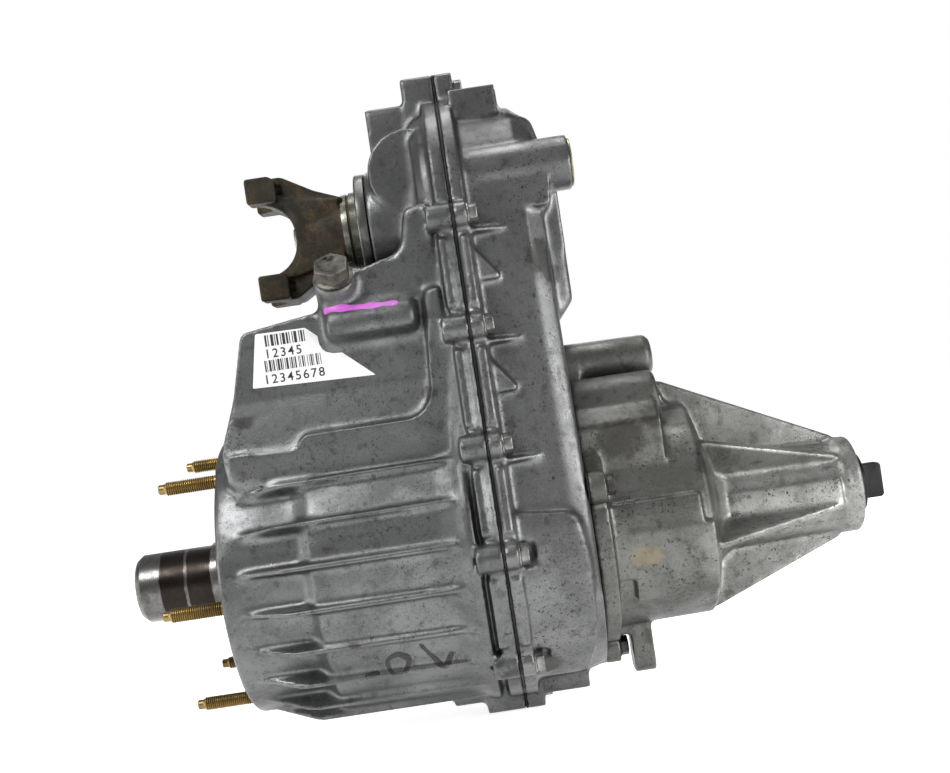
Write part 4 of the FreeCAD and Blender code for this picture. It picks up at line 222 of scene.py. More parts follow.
@dataclass
class MetalGrain(EffectGroup):
    """Fine grain, broad mottle and small ragged pits, with features per metre as inputs."""

    name: str = "metal grain"
    inputs: dict[str, float] = field(
        default_factory=lambda: {"Grain": 900.0, "Mottle": 30.0, "Pits": 240.0})
    outputs: tuple[str, ...] = ("Height", "Mottle", "Pits", "Fine")
    pit_sway: float = 0.0040
    pit_relief: float = 0.10

    def build(self) -> Tree:
        """Build the group.

        Returns:
            The group, with outputs Height, Mottle, Pits and Fine.
        """
        group, wiring, start, end = self.begin()
        place = wiring.place()
        fine = wiring.noise(place, start.outputs["Grain"], 4.0, 0.7)
        broad = wiring.noise(place, start.outputs["Mottle"], 7.0, 0.62, 0.4)
        ragged = wiring.add("ShaderNodeTexNoise", {
            "Vector": place, "Scale": wiring.times(start.outputs["Pits"], 2.2)})
        push = wiring.add("ShaderNodeVectorMath", {0: ragged.outputs["Color"],
                                                   "Scale": self.pit_sway}, operation="SCALE")
        moved = wiring.add("ShaderNodeVectorMath", {0: place, 1: push.outputs[0]}, operation="ADD")
        cells = wiring.add("ShaderNodeTexVoronoi", {
            "Vector": moved.outputs[0], "Scale": start.outputs["Pits"]}, feature="F1")
        size = wiring.remap(wiring.noise(place, 90.0, 3.0, 0.6), 0.35, 0.70, 0.06, 0.34)
        near = wiring.remap(wiring.math("SUBTRACT", cells.outputs["Distance"], size), 0.05, -0.05)
        patch = wiring.remap(wiring.noise(place, 15.0, 5.0, 0.7, 0.6), 0.45, 0.58)
        pits = wiring.times(near, patch)
        height = wiring.plus(wiring.times(fine, 0.6), wiring.times(broad, 0.4))
        height = wiring.math("SUBTRACT", height, wiring.times(pits, self.pit_relief))
        self.finish(wiring, end, height, broad, pits, fine)
        return group


@dataclass
class PaintedLightAndDrift(EffectGroup):
    """Masks for a painted highlight on edges, for painted shade in hollows and for a slow cloudy
    drift.
    """

    name: str = "painted light and drift"
    inputs: dict[str, float] = field(default_factory=lambda: {"Spread": 1.0})
    outputs: tuple[str, ...] = ("Highlight", "Hollow", "Drift")
    # Pointiness ranges of the painted highlight on edges and of the painted shade in hollows.
    highlight_bend: Pair = (0.525, 0.63)
    hollow_shade_bend: Pair = (0.485, 0.41)

    def build(self) -> Tree:
        """Build the group.

        Returns:
            The group, with outputs Edge, Hollow and Drift.
        """
        group, wiring, start, end = self.begin()
        place = wiring.place()
        point = wiring.add("ShaderNodeNewGeometry").outputs["Pointiness"]
        ragged = wiring.noise(place, 160.0, 4.0, 0.65)
        # Painted highlight: a light colour laid on sharp convex edges, broken by noise.
        edge = wiring.times(wiring.remap(point, *self.highlight_bend), wiring.remap(ragged, 0.30, 0.62))
        # Painted shade: darkening laid in concave hollows, broken by noise.
        hollow = wiring.times(wiring.remap(point, *self.hollow_shade_bend),
                              wiring.remap(ragged, 0.25, 0.60))
        slow = wiring.noise(place, wiring.times(start.outputs["Spread"], 9.0), 6.0, 0.6, 1.2)
        self.finish(wiring, end, edge, hollow, wiring.remap(slow, 0.42, 0.68))
        return group


GRAIN = MetalGrain().build()
# Masks of a painted highlight on edges, painted shade in hollows and a slow drift of stains.
PAINTED_LIGHT = PaintedLightAndDrift().build()


# --- finishes ----------------------------------------------------------------------------------


@dataclass(frozen=True)
class Finish:
    """Machined or plated metal with grain, mottle and stains, a painted highlight on its edges and
    painted shade in its hollows.
    """

    name: str
    base: Triple
    shade: Triple
    # Dark colour of stains, pits and other marks; it is also laid as painted shade in hollows.
    stain_and_hollow_shade: Triple
    # Colour of the painted highlight on sharp edges.
    edge: Triple
    metallic: float = 0.9
    rough: Pair = (0.28, 0.45)
    grain: float = 1500.0
    mottle: float = 90.0
    pits: float = 240.0
    pit_depth: float = 0.5
    stain_amount: float = 0.35
    # Strengths of the painted highlight on edges and of the painted shade in hollows.
    highlight_amount: float = 0.5
    hollow_shade_amount: float = 0.5
    bump: float = 0.15
    bump_depth: float = 0.0002
    specular: float = 0.5

    def mottled(self, wiring: Wiring, tone: Socket, low: float, high: float) -> Socket:
        """Shade where the tone is low and base where it is high."""
        return wiring.mix(wiring.remap(tone, low, high), self.shade, self.base)

    def colour(self, wiring: Wiring, grain: Node) -> Socket:
        """Colour before pits, stains, painted shade and the painted edge highlight; finishes with
        bands override this.
        """
        return self.mottled(wiring, grain.outputs["Mottle"], 0.32, 0.68)

    def roughness(self, wiring: Wiring, grain: Node) -> Socket:
        """Roughness that follows the mottle."""
        return wiring.remap(grain.outputs["Mottle"], 0.3, 0.7, self.rough[1], self.rough[0])

    def build(self) -> bpy.types.Material:
        """Build the material.

        Returns:
            The finished material.
        """
        material = bpy.data.materials.new(self.name)
        material.use_nodes = True
        wiring = Wiring(material.node_tree)
        grain = wiring.add("ShaderNodeGroup", node_tree=GRAIN)
        for label, value in (("Grain", self.grain), ("Mottle", self.mottle), ("Pits", self.pits)):
            grain.inputs[label].default_value = value
        # Masks of the painted edge highlight, the painted shade in hollows and the drift of stains.
        painted_light = wiring.add("ShaderNodeGroup", node_tree=PAINTED_LIGHT)
        colour = self.colour(wiring, grain)
        # Pits and drift lay stains; the hollow mask lays painted shade and the edge mask lays a
        # painted highlight.
        for mask, amount, over in ((grain.outputs["Pits"], self.pit_depth, self.stain_and_hollow_shade),
                                   (painted_light.outputs["Drift"], self.stain_amount, self.stain_and_hollow_shade),
                                   (painted_light.outputs["Hollow"], self.hollow_shade_amount, self.stain_and_hollow_shade),
                                   (painted_light.outputs["Highlight"], self.highlight_amount, self.edge)):
            colour = wiring.mix(wiring.times(mask, amount), colour, over)
        bump = wiring.add("ShaderNodeBump", {"Strength": self.bump, "Distance": self.bump_depth,
                                             "Height": grain.outputs["Height"]})
        shader = material.node_tree.nodes["Principled BSDF"]
        for label, value in (("Metallic", self.metallic), ("Specular IOR Level", self.specular),
                             ("Base Color", colour), ("Roughness", self.roughness(wiring, grain)),
                             ("Normal", bump.outputs["Normal"])):
            wiring.feed(shader.inputs[label], value)
        return material


@dataclass(frozen=True)
class BandedSteel(Finish):
    """Turned shaft whose journal has brown bands between ground ones, along X."""

    brown: Triple = (0.014, 0.010, 0.008)
    tip: float = -0.0605
    ring: float = -0.0415
    collar: float = -0.022

    def colour(self, wiring: Wiring, grain: Node) -> Socket:
        """Brown film between the ground tip and the collar, with a bright ring and drag lines.

        Args:
            wiring: The material's wiring.
            grain: The grain group in it.

        Returns:
            The colour.
        """
        place = wiring.place()
        wander = wiring.times(wiring.math("SUBTRACT", grain.outputs["Mottle"], 0.5), 0.004)
        along = wiring.plus(wiring.parts(place)[0], wander)
        inside = wiring.times(wiring.remap(along, self.tip - 0.0006, self.tip + 0.0006),
                              wiring.remap(along, self.collar + 0.0002, self.collar - 0.0008))
        from_ring = wiring.math("ABSOLUTE", wiring.math("SUBTRACT", along, self.ring))
        film = wiring.times(inside, wiring.remap(from_ring, 0.0007, 0.0015))
        lines = wiring.add("ShaderNodeTexWave", {
            "Scale": 260.0, "Distortion": 1.5, "Vector": place}, wave_type="BANDS",
            bands_direction="X")
        film = wiring.times(film, wiring.remap(lines.outputs["Fac"], 0.0, 1.0, 0.90, 1.0))
        bright = self.mottled(wiring, grain.outputs["Mottle"], 0.35, 0.65)
        return wiring.mix(film, bright, self.brown)


@dataclass(frozen=True)
class CastSkin(Finish):
    """Die-cast skin: grainy grey with soft spots, clusters of dark speckles and a darkening that
    rises along one axis.
    """

    metallic: float = 0.82
    rough: Pair = (0.27, 0.46)
    grain: float = 900.0
    pits: float = 300.0
    stain_amount: float = 0.26
    bump: float = 0.55
    bump_depth: float = 0.0006
    speckle: float = 0.75
    # Darkening towards one end of an axis: its strength, the axis and the range it rises over, in
    # metres.
    film: float = 0.35
    darkening_axis: int = 2
    darkening_run: Pair = (0.15, 0.35)
    smudges: tuple[Spot, ...] = ()
    oil: Triple = (0.020, 0.019, 0.016)
    oil_amount: float = 0.62
    tints: tuple[Spot, ...] = ()
    tint: Triple = (0.26, 0.22, 0.11)
    tint_amount: float = 0.40

    def spots(self, wiring: Wiring, place: Socket, ragged: Socket,
              spots: tuple[Spot, ...]) -> Socket:
        """Mask of ragged spots on the near side.

        Args:
            wiring: The material's wiring.
            place: Object coordinates.
            ragged: Noise that breaks their edges.
            spots: Middle (x, z) and half sizes of each, in millimetres.

        Returns:
            The mask.
        """
        whole: object = 0.0
        for x, z, wide, tall in spots:
            shift = wiring.add("ShaderNodeMapping", {
                "Vector": place, "Location": (x * MM, -0.08, z * MM),
                "Scale": (wide * MM, 0.12, tall * MM)}, vector_type="TEXTURE")
            far = wiring.add("ShaderNodeVectorMath", {0: shift.outputs["Vector"]},
                             operation="LENGTH")
            reach = wiring.plus(far.outputs["Value"], wiring.times(ragged, 1.5))
            whole = wiring.math("MAXIMUM", whole, wiring.remap(reach, 1.85, 1.35))
        facing = wiring.parts(wiring.add("ShaderNodeTexCoord").outputs["Normal"])[1]
        return wiring.times(whole, wiring.remap(facing, -0.30, -0.70))

    def colour(self, wiring: Wiring, grain: Node) -> Socket:
        """Mottled grey with soft spots, speckles, flow marks and the darkening along one axis.

        Args:
            wiring: The material's wiring.
            grain: The grain group in it.

        Returns:
            The colour.
        """
        place = wiring.place()
        tone = wiring.plus(wiring.times(grain.outputs["Mottle"], 0.6),
                           wiring.times(grain.outputs["Fine"], 0.4))
        colour = self.mottled(wiring, tone, 0.38, 0.62)
        soft = wiring.remap(wiring.noise(place, 130.0, 3.0, 0.55), 0.54, 0.70, 0.0, 0.40)
        cloud = wiring.remap(wiring.noise(place, 19.0, 6.0, 0.72, 0.9), 0.46, 0.57)
        dots = wiring.remap(wiring.noise(place, 420.0, 3.0, 0.72, 0.5), 0.585, 0.635)
        fine = wiring.remap(wiring.noise(place, 1100.0, 2.0, 0.7), 0.60, 0.68)
        specks = wiring.times(wiring.math("MAXIMUM", dots, wiring.times(fine, 0.7)), cloud)
        drawn = wiring.add("ShaderNodeMapping", {"Vector": place, "Scale": (60.0, 160.0, 34.0)})
        flow = wiring.noise(drawn.outputs["Vector"], 1.0, 4.0, 0.7, 1.6)
        # Darker towards the top on the front and rear castings, and towards the front end on the
        # tail.
        height = wiring.plus(wiring.parts(place)[self.darkening_axis],
                             wiring.times(grain.outputs["Mottle"], 0.10))
        for mask in (soft, wiring.times(specks, self.speckle),
                     wiring.remap(flow, 0.62, 0.74, 0.0, 0.35),
                     wiring.remap(height, *self.darkening_run, 0.0, self.film)):
            colour = wiring.mix(mask, colour, self.stain_and_hollow_shade)
        ragged = wiring.noise(place, 110.0, 5.0, 0.7, 0.5)
        for spots, amount, over in ((self.tints, self.tint_amount, self.tint),
                                    (self.smudges, self.oil_amount, self.oil)):
            if spots:
                mask = wiring.times(self.spots(wiring, place, ragged, spots), amount)
                colour = wiring.mix(mask, colour, over)
        return colour


@dataclass(frozen=True)
class Forging(Finish):
    """Forged steel with orange-brown patches under a dark oxide."""

    patch: Triple = (0.080, 0.050, 0.022)
    patches: float = 0.70

    def colour(self, wiring: Wiring, grain: Node) -> Socket:
        """Dark oxide with brown patches.

        Args:
            wiring: The material's wiring.
            grain: The grain group in it.

        Returns:
            The colour.
        """
        place = wiring.place()
        colour = self.mottled(wiring, grain.outputs["Mottle"], 0.36, 0.64)
        rusty = wiring.noise(place, 55.0, 6.0, 0.68, 0.7)
        area = wiring.remap(rusty, 0.46, 0.66, 0.0, self.patches)
        scale = wiring.remap(wiring.noise(place, 600.0, 3.0, 0.7), 0.50, 0.68, 0.0, 0.6)
        return wiring.mix(scale, wiring.mix(area, colour, self.patch), self.stain_and_hollow_shade)


@dataclass(frozen=True)
class PlainCoat(Finish):
    """Paper, ink, paint, rubber or plastic with a faint grain."""

    metallic: float = 0.0
    rough: Pair = (0.4, 0.5)
    grain: float = 1400.0
    mottle: float = 80.0
    stain_amount: float = 0.2
    bump: float = 0.12


CAST = CastSkin(
    "cast aluminium", (0.176, 0.179, 0.180), (0.100, 0.102, 0.103), (0.030, 0.029, 0.027),
    (0.66, 0.66, 0.65), rough=(0.27, 0.44), mottle=26.0, pit_depth=0.55, stain_amount=0.22,
    hollow_shade_amount=0.12, film=0.30, darkening_run=(0.18, 0.35),
    smudges=((161, 114, 7, 5), (86, -48, 5, 3), (60, 57, 6, 3), (190, -88, 12, 8), (30, 112, 8, 5),
             (183, 316, 14, 9)))
CAST_REAR = CastSkin(
    "cast aluminium rear", (0.200, 0.203, 0.202), (0.116, 0.118, 0.118), (0.028, 0.027, 0.025),
    (0.66, 0.66, 0.65), mottle=28.0, pits=280.0, pit_depth=0.6, hollow_shade_amount=0.14, speckle=0.85,
    film=0.34, darkening_run=(0.24, 0.36),
    smudges=((240, 305, 19, 5), (263, 303, 9, 6), (250, 197, 10, 15), (258, 186, 8, 9),
             (216, -86, 12, 9)))
# Its grey is set lighter than the front casting's; the extra lightness is partly painted light
# falling from the right. Its painted edge highlight is stronger too.
CAST_TAIL_LIT = CastSkin(
    "cast aluminium tail lit", (0.370, 0.370, 0.356), (0.205, 0.205, 0.195), (0.032, 0.031, 0.027),
    (0.78, 0.77, 0.75), metallic=0.80, rough=(0.30, 0.48), grain=800.0, mottle=34.0,
    pit_depth=0.85, highlight_amount=0.80, hollow_shade_amount=0.20, bump=0.6, speckle=1.0, film=0.60,
    darkening_axis=0, darkening_run=(0.435, 0.375),
    smudges=((288, 62, 22, 17), (318, 74, 16, 11), (300, -88, 18, 12), (345, 40, 8, 14)),
    tints=((293, -20, 13, 9),))
ZINC_YELLOW = Finish(
    "yellow zinc", (0.30, 0.205, 0.065), (0.17, 0.12, 0.045), (0.06, 0.040, 0.018),
    (0.60, 0.50, 0.28), metallic=0.85, mottle=120.0, stain_amount=0.45, hollow_shade_amount=0.7)
ZINC_PALE = Finish("pale zinc", (0.34, 0.30, 0.17), (0.22, 0.20, 0.13), (0.08, 0.07, 0.04),
                   (0.66, 0.62, 0.46), metallic=0.85)
ZINC_CLEAR = Finish("clear zinc", (0.17, 0.17, 0.166), (0.095, 0.095, 0.092), (0.06, 0.056, 0.05),
                    (0.70, 0.70, 0.68), rough=(0.26, 0.46), bump=0.2)
BLACK_BOLT = Finish("black oxide steel", (0.028,) * 3, (0.014,) * 3, (0.06, 0.045, 0.035),
                    (0.16,) * 3, metallic=0.6, rough=(0.35, 0.5))
STEEL = Finish("ground steel", (0.50, 0.50, 0.49), (0.36, 0.36, 0.35), (0.16, 0.14, 0.11),
               (0.8, 0.8, 0.78), metallic=0.95, rough=(0.2, 0.34), grain=1800.0, mottle=60.0,
               bump=0.08)
GEAR_STEEL = Finish("gear steel", (0.30,) * 3, (0.21,) * 3, (0.09, 0.07, 0.055), (0.6,) * 3,
                    mottle=70.0, bump=0.12)
SHAFT = BandedSteel(
    "banded shaft steel", (0.17, 0.166, 0.162), (0.080, 0.077, 0.074), (0.030, 0.023, 0.018),
    (0.66, 0.66, 0.65), metallic=0.92, rough=(0.22, 0.40), grain=1600.0, mottle=75.0,
    stain_amount=0.30, bump=0.12)
YOKE = Forging(
    "brown forging", (0.036, 0.031, 0.018), (0.017, 0.015, 0.009), (0.005, 0.004, 0.003),
    (0.13, 0.11, 0.08), metallic=0.40, rough=(0.48, 0.66), grain=1000.0, mottle=60.0, pits=300.0,
    stain_amount=0.45, highlight_amount=0.55, hollow_shade_amount=0.7, bump=0.6, bump_depth=0.0006,
    specular=0.3)
NECK_STEEL = Finish(
    "oiled neck steel", (0.105, 0.110, 0.085), (0.060, 0.064, 0.048), (0.018, 0.018, 0.012),
    (0.42, 0.43, 0.38), metallic=0.85, rough=(0.22, 0.38), stain_amount=0.5)
RUST = Finish(
    "rusty steel", (0.038, 0.037, 0.029), (0.022, 0.019, 0.014), (0.030, 0.017, 0.009),
    (0.34, 0.32, 0.28), metallic=0.45, rough=(0.38, 0.58), grain=1200.0, mottle=120.0,
    stain_amount=0.6, bump=0.45, bump_depth=0.0004, specular=0.3)
BRONZE = Finish("sintered bronze", (0.50, 0.36, 0.19), (0.38, 0.27, 0.14), (0.2, 0.13, 0.07),
                (0.65, 0.5, 0.3), rough=(0.35, 0.5))
PLASTIC = PlainCoat("black plastic", (0.010, 0.011, 0.011), (0.007,) * 3, (0.018, 0.018, 0.016),
                    (0.04,) * 3, rough=(0.34, 0.46), specular=0.18)
RUBBER = PlainCoat("oil seal rubber", (0.020, 0.018, 0.017), (0.013, 0.012, 0.011),
                   (0.05, 0.04, 0.035), (0.07, 0.06, 0.055), rough=(0.45, 0.6), stain_amount=0.35)
SEALANT = PlainCoat(
    "black sealant", (0.010, 0.010, 0.009), (0.005,) * 3, (0.03, 0.028, 0.024),
    (0.03, 0.03, 0.027), rough=(0.40, 0.60), grain=900.0, mottle=160.0, bump=0.4,
    bump_depth=0.0004, specular=0.2)
PAPER = PlainCoat(
    "white sticker", (0.80, 0.80, 0.81), (0.74, 0.74, 0.75), (0.58, 0.57, 0.55), (0.88,) * 3,
    rough=(0.45, 0.55), grain=1200.0, mottle=60.0, pit_depth=0.1, stain_amount=0.15, bump=0.05,
    bump_depth=0.0001)
INK = PlainCoat("printed ink", (0.02,) * 3, (0.015,) * 3, (0.05,) * 3, (0.03,) * 3, grain=1500.0,
                mottle=200.0, pit_depth=0.2, stain_amount=0.1, bump=0.05, bump_depth=0.0001)
MARKER = PlainCoat(
    "marker ink", (0.022, 0.020, 0.024), (0.010, 0.009, 0.012), (0.06, 0.058, 0.06), (0.10,) * 3,
    rough=(0.3, 0.45), grain=1200.0, mottle=260.0, stain_amount=0.35, bump=0.2, bump_depth=0.0003)
STRIPE = PlainCoat(
    "magenta paint", (0.62, 0.10, 0.60), (0.40, 0.12, 0.46), (0.30, 0.20, 0.36), (0.72, 0.40, 0.70),
    rough=(0.4, 0.55), grain=900.0, mottle=240.0, pit_depth=0.8, stain_amount=0.6, bump=0.4,
    bump_depth=0.0004)


class Paints:
    """Materials, each built the first time it is asked for."""

    def __init__(self) -> None:
        """Start with no materials."""
        self.made: dict[str, bpy.types.Material] = {}

    def get(self, finish: Finish) -> bpy.types.Material:
        """Find or build the material of a finish.

        Args:
            finish: The finish.

        Returns:
            Its material.
        """
        if finish.name not in self.made:
            self.made[finish.name] = finish.build()
        return self.made[finish.name]


PAINTS = Paints()


# --- mesh helpers ------------------------------------------------------------------------------


def in_scene(name: str, data: bpy.types.ID) -> Piece:
    """Put new data in the scene.

    Args:
        name: Name of the object.
        data: Its mesh, curve, lamp or camera.

    Returns:
        The new object.
    """
    piece = bpy.data.objects.new(name, data)
    bpy.context.scene.collection.objects.link(piece)
    return piece


def mesh_from(bm: Shape, name: str) -> Mesh:
    """Turn a bmesh into a mesh.

    Args:
        bm: The bmesh, which is used up.
        name: Name of the mesh.

    Returns:
        The mesh.
    """
    mesh = bpy.data.meshes.new(name)
    bm.to_mesh(mesh)
    bm.free()
    return mesh


def smooth_mesh(bm: Shape, name: str, sharp: float = 35.0) -> Mesh:
    """Turn a bmesh into a smooth mesh whose edges over an angle stay sharp.

    Args:
        bm: The bmesh, which is used up.
        name: Name of the mesh.
        sharp: The angle, in degrees.

    Returns:
        The mesh.
    """
    mesh = mesh_from(bm, name)
    mesh.shade_smooth()
    mesh.set_sharp_from_angle(angle=math.radians(sharp))
    return mesh


def place_piece(name: str, shape: Union[Shape, Mesh], finish: Finish, slot: str, *replaced: str,
                body: Body = Body.HOUSING, sharp: float = 35.0) -> Piece:
    """Put a finished piece in the scene, on its body.

    Args:
        name: Name of the piece.
        shape: Its mesh, in place, or the bmesh to make it from.
        finish: Its finish.
        slot: A material slot of the record; not used.
        replaced: Nodes that it stands for.
        body: The body it rides on.
        sharp: Angle over which a bmesh's edges stay sharp, in degrees.

    Returns:
        The new object.
    """
    mesh = shape if isinstance(shape, Mesh) else smooth_mesh(shape, name, sharp)
    piece = in_scene(name, mesh)
    mesh.materials.clear()
    mesh.materials.append(PAINTS.get(finish))
    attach(piece, body.value)
    if replaced:
        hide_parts(*replaced)
    log.info("%s: %d faces", name, len(mesh.polygons))
    return piece


def merged_copy(node: str) -> Shape:
    """Copy a node's mesh and join its corners.

    Args:
        node: Name of the node.

    Returns:
        The copy as a bmesh.
    """
    bm = bmesh.new()
    bm.from_mesh(frame["nodes"][node].data)
    bmesh.ops.remove_doubles(bm, verts=bm.verts, dist=2e-6)
    return bm


def lathe(profile: Sequence[Pair], origin: Vector, axis: Vector, steps: int) -> Shape:
    """Turn an open profile about an axis.

    Args:
        profile: Points along the axis and out from it, in metres.
        origin: Where along is zero.
        axis: Direction of the axis.
        steps: Number of faces round.

    Returns:
        The turned bmesh.
    """
    bm = bmesh.new()
    side = axis.orthogonal().normalized()
    verts = [bm.verts.new(origin + axis * along + side * radius) for along, radius in profile]
    edges = [bm.edges.new(pair) for pair in zip(verts, verts[1:])]
    bmesh.ops.spin(bm, geom=verts + edges, cent=origin, axis=axis, angle=2 * math.pi, steps=steps,
                   use_merge=True)
    bmesh.ops.remove_doubles(bm, verts=bm.verts, dist=1e-7)
    bmesh.ops.recalc_face_normals(bm, faces=bm.faces)
    return bm


def thicken(bm: Shape, along: Vector) -> Shape:
    """Draw every face out into a solid.

    Args:
        bm: A bmesh of flat faces.
        along: How far and which way, in metres.

    Returns:
        The same bmesh.
    """
    lifted = bmesh.ops.extrude_face_region(bm, geom=list(bm.faces))
    moved = [item for item in lifted["geom"] if isinstance(item, bmesh.types.BMVert)]
    bmesh.ops.translate(bm, verts=moved, vec=along)
    bmesh.ops.recalc_face_normals(bm, faces=bm.faces)
    return bm


def join(parts: Sequence[Shape]) -> Shape:
    """Join several bmeshes into the first.

    Args:
        parts: The bmeshes; all but the first are used up.

    Returns:
        The first, with the others in it.
    """
    whole = parts[0]
    for part in parts[1:]:
        spare = mesh_from(part, "part")
        whole.from_mesh(spare)
        bpy.data.meshes.remove(spare)
    return whole


@dataclass
class HexHead:
    """Hexagon head with a chamfered top and a washer face."""

    across: float
    height: float
    washer_height: float = 0.22
    top_chamfer: float = 0.075
    side_chamfer: float = 0.02
    washer: tuple[Pair, ...] = ((0, 0), (0, 0.6), (0.55, 0.61), (1, 0.52))

    def bevel(self, bm: Shape, edges: list[bmesh.types.BMEdge], share: float) -> None:
        """Chamfer some edges by a share of the width across the flats."""
        bmesh.ops.bevel(bm, geom=edges, offset=self.across * share, segments=2, profile=0.5,
                        affect="EDGES", material=-1)

    def build(self, seat: Vector, axis: Vector) -> Shape:
        """Build the head.

        Args:
            seat: Middle of the face it sits on.
            axis: Direction from the seat to the top.

        Returns:
            The head as a bmesh.
        """
        bm = bmesh.new()
        base = self.height * self.washer_height
        tall = self.height - base
        radius = self.across / math.sqrt(3)
        turn = axis.to_track_quat("Z", "Y").to_matrix().to_4x4()
        bmesh.ops.create_cone(
            bm, cap_ends=True, segments=6, radius1=radius, radius2=radius, depth=tall,
            matrix=Matrix.Translation(seat + axis * ((self.height + base) / 2)) @ turn)
        self.bevel(bm, [edge for edge in bm.edges if all(
            (vert.co - seat).dot(axis) > self.height - 1e-5 for vert in edge.verts)],
            self.top_chamfer)
        self.bevel(bm, [edge for edge in bm.edges if edge.calc_length() > tall * 0.5 and abs(
            (edge.verts[0].co - edge.verts[1].co).normalized().dot(axis)) > 0.98],
            self.side_chamfer)
        profile = [(base * along, self.across * out) for along, out in self.washer]
        return join([bm, lathe([*profile, (base + 1e-4, 0)], seat, axis, 40)])


def islands(node: str) -> list[tuple[Vector, Vector]]:
    """Find the separate solids of a node.

    Args:
        node: Name of the node.

    Returns:
        Lowest and highest corner of each.
    """
    bm = merged_copy(node)
    left = set(bm.verts)
    boxes = []
    while left:
        stack = [left.pop()]
        members = []
        while stack:
            vert = stack.pop()
            members.append(vert.co.copy())
            near = {edge.other_vert(vert) for edge in vert.link_edges} & left
            left -= near
            stack.extend(near)
        boxes.append(tuple(Vector([pick(c[i] for c in members) for i in range(3)])
                           for pick in (min, max)))
    bm.free()
    return sorted(boxes, key=lambda box: tuple(box[0]))


def modified(piece: Piece) -> Mesh:
    """Apply an object's modifiers and remove the object.

    Args:
        piece: The object.

    Returns:
        Its finished mesh, shaded smooth.
    """
    graph = bpy.context.evaluated_depsgraph_get()
    graph.update()
    mesh = bpy.data.meshes.new_from_object(piece.evaluated_get(graph))
    mesh.name = piece.name
    bpy.data.objects.remove(piece)
    mesh.shade_smooth()
    return mesh


def plate(corners: Sequence[Pair], y: float, thickness: float) -> Shape:
    """Flat plate across Y.

    Args:
        corners: Its corners (x, z) in millimetres.
        y: Where its middle lies, in millimetres.
        thickness: Its thickness in millimetres.

    Returns:
        The plate as a bmesh, in metres.
    """
    bm = bmesh.new()
    bm.faces.new([bm.verts.new(Vector((x, y - thickness / 2, z)) * MM) for x, z in corners])
    return thicken(bm, ACROSS * (thickness * MM))


def arc_pad(along: Pair, radii: Pair, angles: Pair, steps: int = 24) -> Shape:
    """Pad that lies on a tube about the X axis.

    Args:
        along: Where it starts and ends along X, in millimetres.
        radii: Its inner and outer radius in millimetres.
        angles: Where it starts and ends round the axis, in degrees up from -Y.
        steps: Number of faces along each arc.

    Returns:
        The pad as a bmesh, in metres.
    """
    bm = bmesh.new()
    turns = [math.radians(angles[0] + (angles[1] - angles[0]) * step / steps)
             for step in range(steps + 1)]
    rim = [(radii[0], turn) for turn in turns] + [(radii[1], turn) for turn in reversed(turns)]
    bm.faces.new([
        bm.verts.new(Vector((along[0], -radius * math.cos(turn), radius * math.sin(turn))) * MM)
        for radius, turn in rim])
    return thicken(bm, ALONG * ((along[1] - along[0]) * MM))


# --- castings and machined pieces --------------------------------------------------------------


@dataclass(frozen=True)
class SoftZone:
    """Box, in millimetres, whose corners the pattern maker blended more than elsewhere."""

    low: Triple
    high: Triple
    fade: float = 9.0

    def share(self, place: Vector) -> float:
        """Say how far a point lies in the zone.

        Args:
            place: The point, in metres.

        Returns:
            Its share, from 0 outside to 1 well inside.
        """
        gap = max(max(low * MM - c, c - high * MM)
                  for c, low, high in zip(place, self.low, self.high))
        return min(1.0, max(0.0, -gap / (self.fade * MM)))


